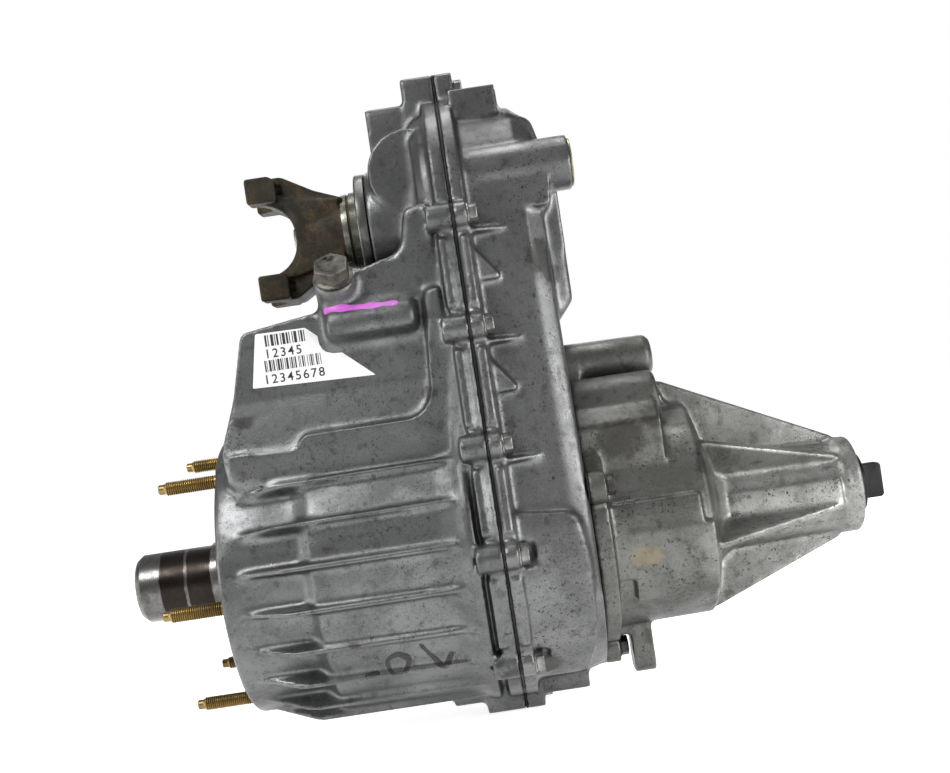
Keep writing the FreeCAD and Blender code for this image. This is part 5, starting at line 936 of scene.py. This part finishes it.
@dataclass
class Casting:
    """A cast or forged piece, with its corners rounded and its hollows filled as in the die."""

    node: str
    name: str
    finish: Finish
    voxel: float
    zones: tuple[SoftZone, ...] = ()
    extras: Sequence[Shape] = ()
    slot: str = "cast_aluminium"
    body: Body = Body.HOUSING
    rounds: int = 4
    fillet: int = 40
    zone_rounds: int = 60
    reach: int = 5
    reach_loss: float = 0.94
    flat_bend: float = 0.03
    bend_gain: float = 12.0
    ridge_bend: float = -0.05
    least_depth: float = 0.2
    quick_coarse: float = 1.8
    most_triangles: int = 190000

    def hollows(self, mesh: Mesh) -> dict[int, list[int]]:
        """Corners that lie in a hollow or near one.

        Args:
            mesh: The even skin.

        Returns:
            Vertex numbers by weight in quarters.
        """
        bm = bmesh.new()
        bm.from_mesh(mesh)
        bm.normal_update()
        depth = []
        edges = set()
        for vert in bm.verts:
            around = [edge.other_vert(vert).co for edge in vert.link_edges]
            middle = sum(around, Vector()) / len(around)
            bend = (middle - vert.co).dot(vert.normal) / self.voxel
            depth.append(min(1.0, max(0.0, (bend - self.flat_bend) * self.bend_gain)))
            if bend < self.ridge_bend:
                edges.add(vert.index)
        for _ in range(self.reach):
            depth = [
                depth[vert.index] if vert.index in edges else
                max([depth[vert.index]] + [depth[edge.other_vert(vert).index] * self.reach_loss
                                           for edge in vert.link_edges])
                for vert in bm.verts]
        bm.free()
        groups: dict[int, list[int]] = {1: [], 2: [], 3: [], 4: []}
        for index, value in enumerate(depth):
            if value > self.least_depth:
                groups[min(4, math.ceil(value * 4))].append(index)
        return groups

    def smooth(self, piece: Piece, name: str, rounds: int, group: str) -> None:
        """Add a smoothing of one vertex group, or of the whole piece.

        Args:
            piece: The piece.
            name: Name of the modifier.
            rounds: How often it smooths.
            group: The vertex group, or an empty name.
        """
        rounding = piece.modifiers.new(name, "SMOOTH")
        rounding.factor = 0.5
        rounding.iterations = rounds
        rounding.vertex_group = group

    def skin(self) -> Mesh:
        """Rebuild the node's surface as an even skin, fillet it and thin it.

        Returns:
            The rounded mesh.
        """
        whole = join([merged_copy(self.node), *self.extras])
        draft = in_scene(self.name, mesh_from(whole, self.name))
        remesh = draft.modifiers.new("skin", "REMESH")
        remesh.mode = "VOXEL"
        remesh.voxel_size = self.voxel * 1.0
        mesh = modified(draft)
        piece = in_scene(self.name, mesh)
        group = piece.vertex_groups.new(name="hollows")
        for quarters, indices in self.hollows(mesh).items():
            group.add(indices, quarters / 4, "REPLACE")
        self.smooth(piece, "fillet", self.fillet, group.name)
        if self.zones:
            soft = piece.vertex_groups.new(name="soft")
            for vert in mesh.vertices:
                share = max(zone.share(vert.co) for zone in self.zones)
                if share > 0:
                    soft.add([vert.index], share, "REPLACE")
            self.smooth(piece, "zones", self.zone_rounds, soft.name)
        self.smooth(piece, "round", self.rounds, "")
        count = sum(len(face.vertices) - 2 for face in mesh.polygons)
        if count > self.most_triangles:
            thin = piece.modifiers.new("thin", "DECIMATE")
            thin.ratio = self.most_triangles / count
        return modified(piece)

    def build(self) -> Piece:
        """Build the piece in place of its node."""
        return place_piece(self.name, self.skin(), self.finish, self.slot, self.node,
                           body=self.body)


@dataclass
class EasedPart:
    """A machined or moulded piece: the node's shape with its edges broken."""

    node: str
    name: str
    finish: Finish
    slot: str
    width: float
    body: Body = Body.HOUSING
    flat_angle: float = math.radians(2)
    edge_angle: float = math.radians(32)
    sharp_angle: float = math.radians(38)

    def build(self) -> Piece:
        """Build the piece in place of its node.

        Returns:
            The new object.
        """
        bm = merged_copy(self.node)
        bmesh.ops.dissolve_limit(bm, angle_limit=self.flat_angle, verts=bm.verts, edges=bm.edges)
        piece = in_scene(self.name, mesh_from(bm, self.name))
        bevel = piece.modifiers.new("edges", "BEVEL")
        bevel.width = self.width
        bevel.segments = 2
        bevel.limit_method = "ANGLE"
        bevel.angle_limit = self.edge_angle
        bevel.harden_normals = False
        mesh = modified(piece)
        mesh.set_sharp_from_angle(angle=self.sharp_angle)
        return place_piece(self.name, mesh, self.finish, self.slot, self.node, body=self.body)


# --- fasteners ---------------------------------------------------------------------------------


@dataclass
class HexBolts:
    """Bolts or plugs of one group, whose heads point along one axis."""

    node: str
    name: str
    finish: Finish
    slot: str
    axis: Vector = field(default_factory=lambda: ALONG)
    across: float = 13 * MM
    head: float = 7 * MM
    shank: float = 4 * MM

    def build(self) -> Piece:
        """Build every bolt of the group where its solid lies.

        Returns:
            The new object.
        """
        parts = []
        neck = self.shank * 0.97
        for low, high in islands(self.node):
            half = (high - low).dot(self.axis) / 2
            seat = (low + high) / 2 + self.axis * half - self.axis * self.head
            tip = self.head - 2 * half
            parts.append(HexHead(self.across, self.head * 0.98).build(seat, self.axis))
            parts.append(lathe([(tip, 0), (tip, self.shank * 0.7), (tip + 1 * MM, neck),
                                (0.2 * MM, neck), (0.2 * MM, 0)], seat, self.axis, 20))
        return place_piece(self.name, join(parts), self.finish, self.slot, self.node)


@dataclass
class ThreadedStuds:
    """Studs that stand out of the mounting face, threaded nearly to the metal."""

    node: str = "mounting_studs"
    radius: float = 4.98 * MM
    depth: float = 0.75 * MM
    pitch: float = 1.5 * MM
    plain_tip: float = 5.5 * MM
    plain_root: float = 3.0 * MM

    def profile(self, start: float, end: float) -> list[Pair]:
        """Profile of one stud.

        Args:
            start: Where its dog point starts along X; the face is at zero.
            end: Where it ends in the case.

        Returns:
            Points along the stud and out from its axis.
        """
        along = start + self.plain_tip
        root = self.radius - self.depth
        points = [(start, 0.0), (start, self.radius - 1.9 * MM),
                  (start + 0.5 * MM, self.radius - 1.5 * MM),
                  (along - 1.4 * MM, self.radius - 1.45 * MM), (along, root)]
        while along < -self.plain_root:
            points += [(along + self.pitch * 0.42, self.radius),
                       (along + self.pitch * 0.58, self.radius), (along + self.pitch, root)]
            along += self.pitch
        return points + [(along + 0.8 * MM, self.radius), (end, self.radius), (end, 0.0)]

    def build(self) -> Piece:
        """Build all the studs as one group.

        Returns:
            The new object.
        """
        parts = []
        for low, high in islands(self.node):
            middle = (low + high) / 2
            line = Vector((0, middle.y, middle.z))
            parts.append(lathe(self.profile(low.x, high.x), line, ALONG, 32))
        return place_piece("threaded_studs", join(parts), ZINC_YELLOW, "zinc_yellow_steel",
                           self.node, sharp=25.0)


@dataclass
class DetentPlug:
    """Hexagon plug over the detent spring, turned flat on top and rusty."""

    node: str = "detent_plug"
    axis: Vector = field(default_factory=lambda: DETENT_AXIS)
    across: float = 23 * MM
    head: float = 12 * MM
    shank: float = 9.1 * MM
    dish: float = 3.2 * MM
    land: float = 8.6 * MM
    rim: float = 10.2 * MM

    def build(self) -> Piece:
        """Build the plug where its node lies.

        Returns:
            The new object.
        """
        bm = merged_copy(self.node)
        reach = [vert.co.dot(self.axis) for vert in bm.verts]
        top = max(reach)
        flat = [vert.co for vert, along in zip(bm.verts, reach) if along > top - 0.05 * MM]
        centre = sum(flat, Vector()) / len(flat)
        tip = self.head - (top - min(reach))
        bm.free()
        seat = centre - self.axis * self.head
        face = [(self.head - 1.2 * MM, 0), (self.head, self.dish), (self.head, self.land),
                (self.head - 0.9 * MM, self.rim), (self.head - 2 * MM, self.rim)]
        stem = [(tip, 0), (tip, self.shank), (0.2 * MM, self.shank), (0.2 * MM, 0)]
        parts = [HexHead(self.across, self.head).build(seat, self.axis),
                 lathe(face, seat, self.axis, 48), lathe(stem, seat, self.axis, 32)]
        return place_piece("detent_plug_turned", join(parts), RUST, "rusty_steel", self.node)


@dataclass
class CoilSpring:
    """Coil spring, copied from its node's mesh."""

    node: str
    name: str
    joint: str
    axis: Vector
    seat_high: bool
    travel: float

    def build(self) -> Piece:
        """Build the spring from a copy of its node's mesh.

        Returns:
            The new object.
        """
        bm = merged_copy(self.node)
        piece = place_piece(self.name, bm, GEAR_STEEL, "spring_steel", self.node)
        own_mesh(piece)
        return piece


# --- sealant, label and marks ------------------------------------------------------------------


@dataclass
class SealantBead:
    """Sealant squeezed out of the split, uneven along its length."""

    node: str = "case_sealant"
    swell: float = 1.1 * MM
    spread: float = 0.45 * MM
    inside: float = 0.2 * MM
    longest_edge: float = 6 * MM
    swell_start: float = 0.45
    spread_start: float = 0.75
    lumps: tuple[Pair, ...] = ((55.0, 0.7), (140.0, 0.5), (420.0, 0.4))

    def build(self) -> Piece:
        """Build the bead round the split.

        Returns:
            The new object.
        """
        bm = merged_copy(self.node)
        long_edges = [edge for edge in bm.edges if edge.calc_length() > self.longest_edge]
        bmesh.ops.subdivide_edges(bm, edges=long_edges, cuts=6)
        bmesh.ops.triangulate(bm, faces=bm.faces)
        bm.normal_update()
        low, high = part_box(self.node)
        middle = (low[0] + high[0]) / 2
        for vert in bm.verts:
            lump = sum(noise.noise(vert.co * scale) * share for scale, share in self.lumps)
            push = max(-self.inside, self.swell * (self.swell_start + lump))
            side = 1.0 if vert.co.x > middle else -1.0
            vert.co += Vector((0, vert.normal.y, vert.normal.z)) * push
            vert.co.x += side * self.spread * max(0.0, self.spread_start + lump)
            for axis in (1, 2):
                vert.co[axis] = min(max(vert.co[axis], cad_box[0][axis] + self.inside),
                                    cad_box[1][axis] - self.inside)
        return place_piece("sealant_bead", bm, SEALANT, "black_sealant", self.node, sharp=60.0)


class Surface:
    """A casting's skin that labels and marks are laid on."""

    near_side: float = -0.4
    beside: float = -0.1

    def __init__(self, piece: Piece) -> None:
        """Read a piece's triangles.

        Args:
            piece: The casting.
        """
        bm = bmesh.new()
        bm.from_mesh(piece.data)
        self.tree = BVHTree.FromBMesh(bm)
        bm.free()

    def touch(self, x: float, z: float, proud: float) -> Vector:
        """Point on the near side of the surface, standing a little proud of it.

        Args:
            x: Where, along the shafts.
            z: Where, upwards.
            proud: How far it stands out.

        Returns:
            The point.
        """
        hit = self.tree.ray_cast(Vector((x, self.near_side, z)), ACROSS)[0]
        return Vector((x, self.beside, z)) if hit is None else hit - ACROSS * proud


@dataclass
class CaseLabel:
    """White sticker with one cut corner, printed with plain bars and figures."""

    surface: Surface
    corners: tuple[Pair, ...] = ((0.0395, 0.1350), (0.0465, 0.1722), (0.0815, 0.1716),
                                 (0.1255, 0.1320))
    glue: float = 0.05 * MM
    thickness: float = 0.16 * MM
    corner_radius: float = 1.0 * MM
    print_height: float = 0.25 * MM
    row_height: float = 8.0 * MM
    figure_size: float = 8.8 * MM
    figure_space: float = 1.25
    figure_weight: float = 0.012
    slot: str = "black_plastic"
    widths: tuple[int, ...] = (2, 1, 1, 2, 3, 1, 1, 1, 2, 2, 1, 1, 3, 1, 2, 1, 1, 2, 1, 1, 3, 2, 1,
                               1, 2, 1, 1)

    def sheet(self) -> Piece:
        """Lay the sticker on the block.

        Returns:
            The new object.
        """
        bm = bmesh.new()
        bm.faces.new([bm.verts.new(self.surface.touch(x, z, self.glue)) for x, z in self.corners])
        bmesh.ops.bevel(bm, geom=list(bm.verts), offset=self.corner_radius, segments=4, profile=0.5,
                        affect="VERTICES", material=-1)
        return place_piece("case_label", thicken(bm, -ACROSS * self.thickness), PAPER, self.slot)

    def bars(self, start: Pair, length: float, widths: Sequence[int]) -> Shape:
        """Row of printed bars that lean with the sticker.

        Args:
            start: Lower left corner (x, z).
            length: Length of the row.
            widths: Widths of bar and gap in turn, in units.

        Returns:
            The bars as a bmesh.
        """
        bm = bmesh.new()
        unit = length / sum(widths)
        x, low = start
        high = low + self.row_height
        for index, count in enumerate(widths):
            wide = count * unit
            if index % 2 == 0:
                corners = ((x, low), (x + wide, low), (x + wide, high), (x, high))
                bm.faces.new([bm.verts.new(self.surface.touch(px, pz, self.print_height))
                              for px, pz in corners])
            x += wide
        return bm

    def figures(self, text: str, start: Pair) -> Piece:
        """Row of plain figures.

        Args:
            text: The figures.
            start: Lower left corner (x, z).

        Returns:
            The new object.
        """
        curve = bpy.data.curves.new("figures", "FONT")
        curve.body = text
        curve.size = self.figure_size
        curve.space_character = self.figure_space
        curve.offset = self.figure_size * self.figure_weight
        mesh = modified(in_scene("figures", curve))
        level = self.surface.touch(start[0] + 0.01, start[1] + 0.002, self.print_height).y
        mesh.transform(Matrix.Translation((start[0], level, start[1]))
                       @ Matrix.Rotation(math.radians(90), 4, "X"))
        return place_piece(f"label_figures_{round(start[1] / MM)}", mesh, INK, self.slot)

    def build(self) -> None:
        """Build the sticker with its print."""
        self.sheet()
        rows = [self.bars((0.0525, 0.1625), 0.028, self.widths),
                self.bars((0.0500, 0.1450), 0.040, self.widths + self.widths[2:])]
        place_piece("label_bars", join(rows), INK, self.slot)
        self.figures("12345", (0.0510, 0.1545))
        self.figures("12345678", (0.0480, 0.1368))


@dataclass
class PenStroke:
    """A mark drawn or brushed on the casting along a smooth line."""

    surface: Surface
    name: str
    points: tuple[Pair, ...]
    width: float
    finish: Finish
    ragged: float = 0.25
    ragged_scale: float = 90.0
    steps: int = 14
    rows: tuple[float, ...] = (-1.0, -0.35, 0.35, 1.0)
    proud: float = 0.12 * MM
    end_width: float = 0.35

    def line(self) -> list[Pair]:
        """Draw a smooth line through the points.

        Returns:
            Closely spaced points (x, z).
        """
        dots = [self.points[0], *self.points, self.points[-1]]
        smooth = []
        for a, b, c, d in zip(dots, dots[1:], dots[2:], dots[3:]):
            for step in range(self.steps):
                t = step / self.steps
                smooth.append(tuple(
                    0.5 * (2 * b[i] + (c[i] - a[i]) * t
                           + (2 * a[i] - 5 * b[i] + 4 * c[i] - d[i]) * t * t
                           + (3 * b[i] - a[i] - 3 * c[i] + d[i]) * t ** 3) for i in range(2)))
        return smooth + [self.points[-1]]

    def build(self) -> Piece:
        """Lay the stroke on the surface.

        Returns:
            The new object.
        """
        bm = bmesh.new()
        path = self.line()
        last = len(path) - 1
        rows = []
        for index, (x, z) in enumerate(path):
            before, after = path[max(index - 1, 0)], path[min(index + 1, last)]
            run = Vector((after[0] - before[0], after[1] - before[1]))
            side = Vector((-run.y, run.x)).normalized() if run.length else Vector((0, 1))
            sway = noise.noise(Vector((x, 0, z)) * self.ragged_scale)
            side *= self.width * (0.5 + self.ragged * sway)
            side *= min(1.0, self.end_width + min(index, last - index) / 4)
            rows.append([
                bm.verts.new(self.surface.touch(x + side.x * k, z + side.y * k, self.proud))
                for k in self.rows])
        for first, second in zip(rows, rows[1:]):
            for k in range(len(self.rows) - 1):
                bm.faces.new((first[k], first[k + 1], second[k + 1], second[k]))
        bmesh.ops.recalc_face_normals(bm, faces=bm.faces)
        return place_piece(self.name, bm, self.finish, "black_plastic", sharp=70.0)


# --- whole object ------------------------------------------------------------------------------


@dataclass
class CaseSet:
    """The three castings with their sealant, label and marks."""

    ridge: SoftZone = SoftZone((84, -110, 148), (176, -60, 202))
    neck: SoftZone = SoftZone((140, -110, 176), (172, -30, 262))
    foot: SoftZone = SoftZone((-30, -130, 22), (78, -34, 82))
    corner: SoftZone = SoftZone((240, -140, -40), (312, -36, 205), 8.0)
    shelf: SoftZone = SoftZone((256, -112, 84), (336, -22, 124), 7.0)
    stripe: tuple[Pair, ...] = ((0.0965, 0.1800), (0.106, 0.1806), (0.120, 0.1796),
                                (0.136, 0.1790), (0.149, 0.1786))
    marks: tuple[tuple[Pair, ...], ...] = (
        ((0.1500, -0.0640), (0.1440, -0.0745), (0.1415, -0.0735), (0.1290, -0.0545)),
        ((0.1190, -0.0640), (0.1130, -0.0600), (0.1050, -0.0640), (0.1070, -0.0730),
         (0.1150, -0.0740), (0.1195, -0.0660), (0.1170, -0.0610)),
        ((0.0985, -0.0720), (0.0880, -0.0735)))

    def castings(self) -> Piece:
        """Build the three castings.

        Returns:
            The front one.
        """
        heel = plate(((17, 71), (50, 71), (50, 61), (30, 59), (20, 63)), -82, 9)
        front = Casting("front_case", "front_casting", CAST, 1.5 * MM,
                        (self.ridge, self.neck, self.foot), (heel,)).build()
        Casting("rear_case", "rear_casting", CAST_REAR, 1.4 * MM, (self.corner,)).build()
        web = plate(((326, 99), (331, 98), (452, 38.5), (456, 34), (340, 32), (326, 76)), 0, 5)
        panel = arc_pad((284, 343), (76, 84.4), (-40, -2))
        parting = arc_pad((364, 446), (31, 37.4), (-24, 14))
        Casting("extension_housing", "tail_casting", CAST_TAIL_LIT, 1.3 * MM, (self.shelf,),
                (web, panel, parting)).build()
        return front

    def build(self) -> None:
        """Build the castings and what lies on them."""
        surface = Surface(self.castings())
        SealantBead().build()
        CaseLabel(surface).build()
        PenStroke(surface, "paint_stripe", self.stripe, 4.4 * MM, STRIPE, 0.45).build()
        for index, points in enumerate(self.marks):
            PenStroke(surface, f"marker_stroke_{index + 1}", points, 3.8 * MM, MARKER).build()


@dataclass
class YokeSet:
    """Forged yoke with its raised webs, and the turned steps of its neck."""

    web_height: float = 3.0
    web_outline: tuple[Pair, ...] = (
        (78, 15), (70, 27), (64, 29), (74, 30), (90, 26), (112, 23), (112, -23), (90, -26),
        (74, -30), (64, -29), (70, -27), (78, -15))
    neck_radius: float = 28.7 * MM
    neck_steps: tuple[Pair, ...] = (
        (-12.0, -1.6), (-12.0, 0.0), (-7.8, 0.5), (-7.4, -0.9), (-6.2, -0.9), (-5.8, 1.1),
        (-0.7, 1.4), (-0.3, 0.9), (-0.3, -1.6), (-12.0, -1.6))

    def web(self, side: int) -> Shape:
        """Raised web on one side, drawn about the yoke's axis.

        Args:
            side: -1 for the near side, 1 for the far one.

        Returns:
            The web as a bmesh.
        """
        low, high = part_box("front_output_yoke")
        middle = (low[2] + high[2]) / 2 / MM
        corners = [(x, middle + z) for x, z in self.web_outline]
        return plate(corners, side * (21 + self.web_height / 2 - 1), self.web_height + 2)

    def forging(self) -> Piece:
        """Build the forging in place of its node.

        Returns:
            The new object.
        """
        return Casting("front_output_yoke", "yoke_forging", YOKE, 0.9 * MM, (),
                       (self.web(-1), self.web(1)), "brown_yoke_steel", Body.FRONT_OUTPUT, 3, 10,
                       most_triangles=120000).build()

    def neck_rings(self) -> Piece:
        """Build the turned steps against the slinger.

        Returns:
            The new object.
        """
        low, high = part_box("yoke_slinger")
        centre = Vector((low[0], (low[1] + high[1]) / 2, (low[2] + high[2]) / 2))
        profile = [(along * MM, self.neck_radius + out * MM) for along, out in self.neck_steps]
        return place_piece("yoke_neck_rings", lathe(profile, centre, ALONG, 96), NECK_STEEL,
                           "brown_yoke_steel", body=Body.FRONT_OUTPUT)


@dataclass
class HardwareSet:
    """Bolts, studs, plugs, springs, the yoke and small outer pieces."""

    eased: tuple[tuple[str, str, Finish, str, float, Body], ...] = (
        ("cup_plug", "cup_plug_eased", ZINC_PALE, "zinc_yellow_steel", 0.5, Body.HOUSING),
        ("breather_tube", "breather_eased", ZINC_CLEAR, "plated_sheet", 0.3, Body.HOUSING),
        ("speed_sensor", "speed_sensor_eased", PLASTIC, "black_plastic", 0.6, Body.HOUSING),
        ("shift_lever", "shift_lever_eased", ZINC_CLEAR, "brown_yoke_steel", 0.6,
         Body.SHIFT_LEVER),
        ("shipping_plug", "shipping_plug_eased", PLASTIC, "black_plastic", 0.7, Body.TAIL_PLUG),
        ("yoke_slinger", "slinger_eased", ZINC_CLEAR, "plated_sheet", 0.5, Body.FRONT_OUTPUT),
        ("yoke_nut", "yoke_nut_eased", ZINC_CLEAR, "plated_sheet", 0.5, Body.FRONT_OUTPUT))
    fork_travel: float = 12 * MM
    plunger_travel: float = 3 * MM

    def build(self) -> None:
        """Build every outer fastener and fitting."""
        ThreadedStuds().build()
        HexBolts("case_bolts", "case_bolt_set", ZINC_CLEAR, "plated_sheet").build()
        HexBolts("extension_bolts", "tail_bolt_set", BLACK_BOLT, "black_bolt_steel").build()
        HexBolts("oil_plugs", "oil_plug_set", BLACK_BOLT, "black_bolt_steel", ACROSS, 19 * MM,
                 9 * MM, 9 * MM).build()
        DetentPlug().build()
        for node, name, finish, slot, width, body in self.eased:
            EasedPart(node, name, finish, slot, width * MM, body).build()
        yoke = YokeSet()
        yoke.forging()
        CoilSpring("mode_spring", "mode_spring_coil", "mode_fork_slide", ALONG, False,
                   self.fork_travel).build()
        CoilSpring("detent_spring", "detent_spring_coil", "detent_press", DETENT_AXIS, True,
                   self.plunger_travel).build()
        yoke.neck_rings()


@dataclass
class InnerSet:
    """The nodes that still show their own mesh, with the finish of each."""

    by_node: dict[str, Finish] = field(default_factory=lambda: {
        "input_gear": SHAFT, "tail_bushing": BRONZE, "tail_seal": RUBBER, "input_seal": RUBBER,
        "front_output_seal": RUBBER, "extension_gasket": SEALANT, "oil_pickup": ZINC_CLEAR,
        "spring_clip": STEEL})
    by_slot: dict[str, Finish] = field(default_factory=lambda: {
        "gear_steel": GEAR_STEEL, "spring_steel": GEAR_STEEL, "cast_aluminium": CAST})
    other: Finish = STEEL

    def build(self) -> None:
        """Give every node its finish."""
        slots = {part["node"]: part["material_slot"] for part in frame["record"]["subparts"]}
        for name, node in frame["nodes"].items():
            finish = self.by_node.get(name) or self.by_slot.get(slots.get(name), self.other)
            node.data.materials.clear()
            node.data.materials.append(PAINTS.get(finish))


# --- studio ------------------------------------------------------------------------------------


@dataclass
class Studio:
    """Pale floor, soft lights and the camera."""

    roll: float = math.radians(8.59)
    eye: Triple = (0.198, -0.950, 0.099)
    lens: float = 47.4
    shift: Pair = (-0.0116, 0.0205)
    floor_tone: float = 0.85
    floor_glow: float = 0.80
    ambient: float = 0.29
    lamps: tuple[tuple[str, Triple, float, float], ...] = (
        ("key", (-0.45, -0.8, 1.05), 0.40, 11.5), ("fill", (1.2, -0.75, 0.20), 0.6, 9.0),
        ("side", (-1.1, -0.35, 0.25), 0.8, 6.5), ("top", (0.25, 0.1, 1.2), 0.6, 6.0),
        ("back", (0.2, 1.1, 0.5), 1.0, 6.5))

    def camera(self) -> None:
        """Set the camera that looks at the long side of the case."""
        data = bpy.data.cameras.new("camera")
        data.lens = self.lens
        data.sensor_width = 36.0
        data.shift_x, data.shift_y = self.shift
        data.clip_end = 50.0
        eye = in_scene("camera", data)
        right = Vector((math.cos(self.roll), 0, -math.sin(self.roll)))
        up = Vector((math.sin(self.roll), 0, math.cos(self.roll)))
        turn = Matrix((right, up, right.cross(up))).transposed().to_4x4()
        eye.matrix_world = Matrix.Translation(self.eye) @ turn
        bpy.context.scene.camera = eye

    def lamp(self, name: str, place: Triple, size: float, power: float) -> None:
        """Soft square lamp that points at the middle of the case.

        Args:
            name: Its name.
            place: Where it hangs.
            size: Side of the square.
            power: Its power in watts.
        """
        data = bpy.data.lights.new(name, "AREA")
        data.size = size
        data.energy = power
        run = (cad_box[0] + cad_box[1]) / 2 - Vector(place)
        turn = run.to_track_quat("-Z", "Y").to_matrix().to_4x4()
        in_scene(name, data).matrix_world = Matrix.Translation(place) @ turn

    def pale(self) -> bpy.types.Material:
        """Make the floor's paint, which the camera and reflections see as white.

        Returns:
            The material.
        """
        material = bpy.data.materials.new("pale floor")
        material.use_nodes = True
        wiring = Wiring(material.node_tree)
        path = wiring.add("ShaderNodeLightPath").outputs
        bent = wiring.math("MAXIMUM", path["Is Glossy Ray"], path["Is Transmission Ray"])
        seen = wiring.math("MAXIMUM", path["Is Camera Ray"], bent)
        shader = material.node_tree.nodes["Principled BSDF"]
        for label, value in (("Base Color", (self.floor_tone,) * 3), ("Roughness", 0.9),
                             ("Emission Color", (1.0, 1.0, 1.0)),
                             ("Emission Strength", wiring.times(seen, self.floor_glow))):
            wiring.feed(shader.inputs[label], value)
        return material

    def floor(self) -> None:
        """Pale floor under the case."""
        bm = bmesh.new()
        under = Matrix.Translation((0.2, 0, cad_box[0][2] - 0.8 * MM))
        bmesh.ops.create_grid(bm, x_segments=1, y_segments=1, size=6.0, matrix=under)
        floor = in_scene("floor", mesh_from(bm, "floor"))
        floor.data.materials.append(self.pale())

    def world(self) -> None:
        """Even light from all round, seen as white."""
        world = bpy.data.worlds.new("studio")
        world.use_nodes = True
        bpy.context.scene.world = world
        wiring = Wiring(world.node_tree)
        path = wiring.add("ShaderNodeLightPath")
        strength = wiring.add("ShaderNodeMapRange", {0: path.outputs["Is Camera Ray"],
                                                     3: self.ambient, 4: 1.0})
        background = world.node_tree.nodes["Background"]
        wiring.feed(background.inputs["Color"], (1.0, 1.0, 1.0))
        wiring.feed(background.inputs["Strength"], strength.outputs[0])

    def build(self) -> None:
        """Build the studio."""
        self.camera()
        self.floor()
        self.world()
        for lamp in self.lamps:
            self.lamp(*lamp)
        bpy.context.scene.view_settings.view_transform = "Standard"


def main() -> None:
    """Dress the transfer case and set up the studio."""
    logging.basicConfig(level=logging.INFO, format="%(message)s")
    InnerSet().build()
    CaseSet().build()
    HardwareSet().build()
    Studio().build()


if __name__ == "__main__":
    main()
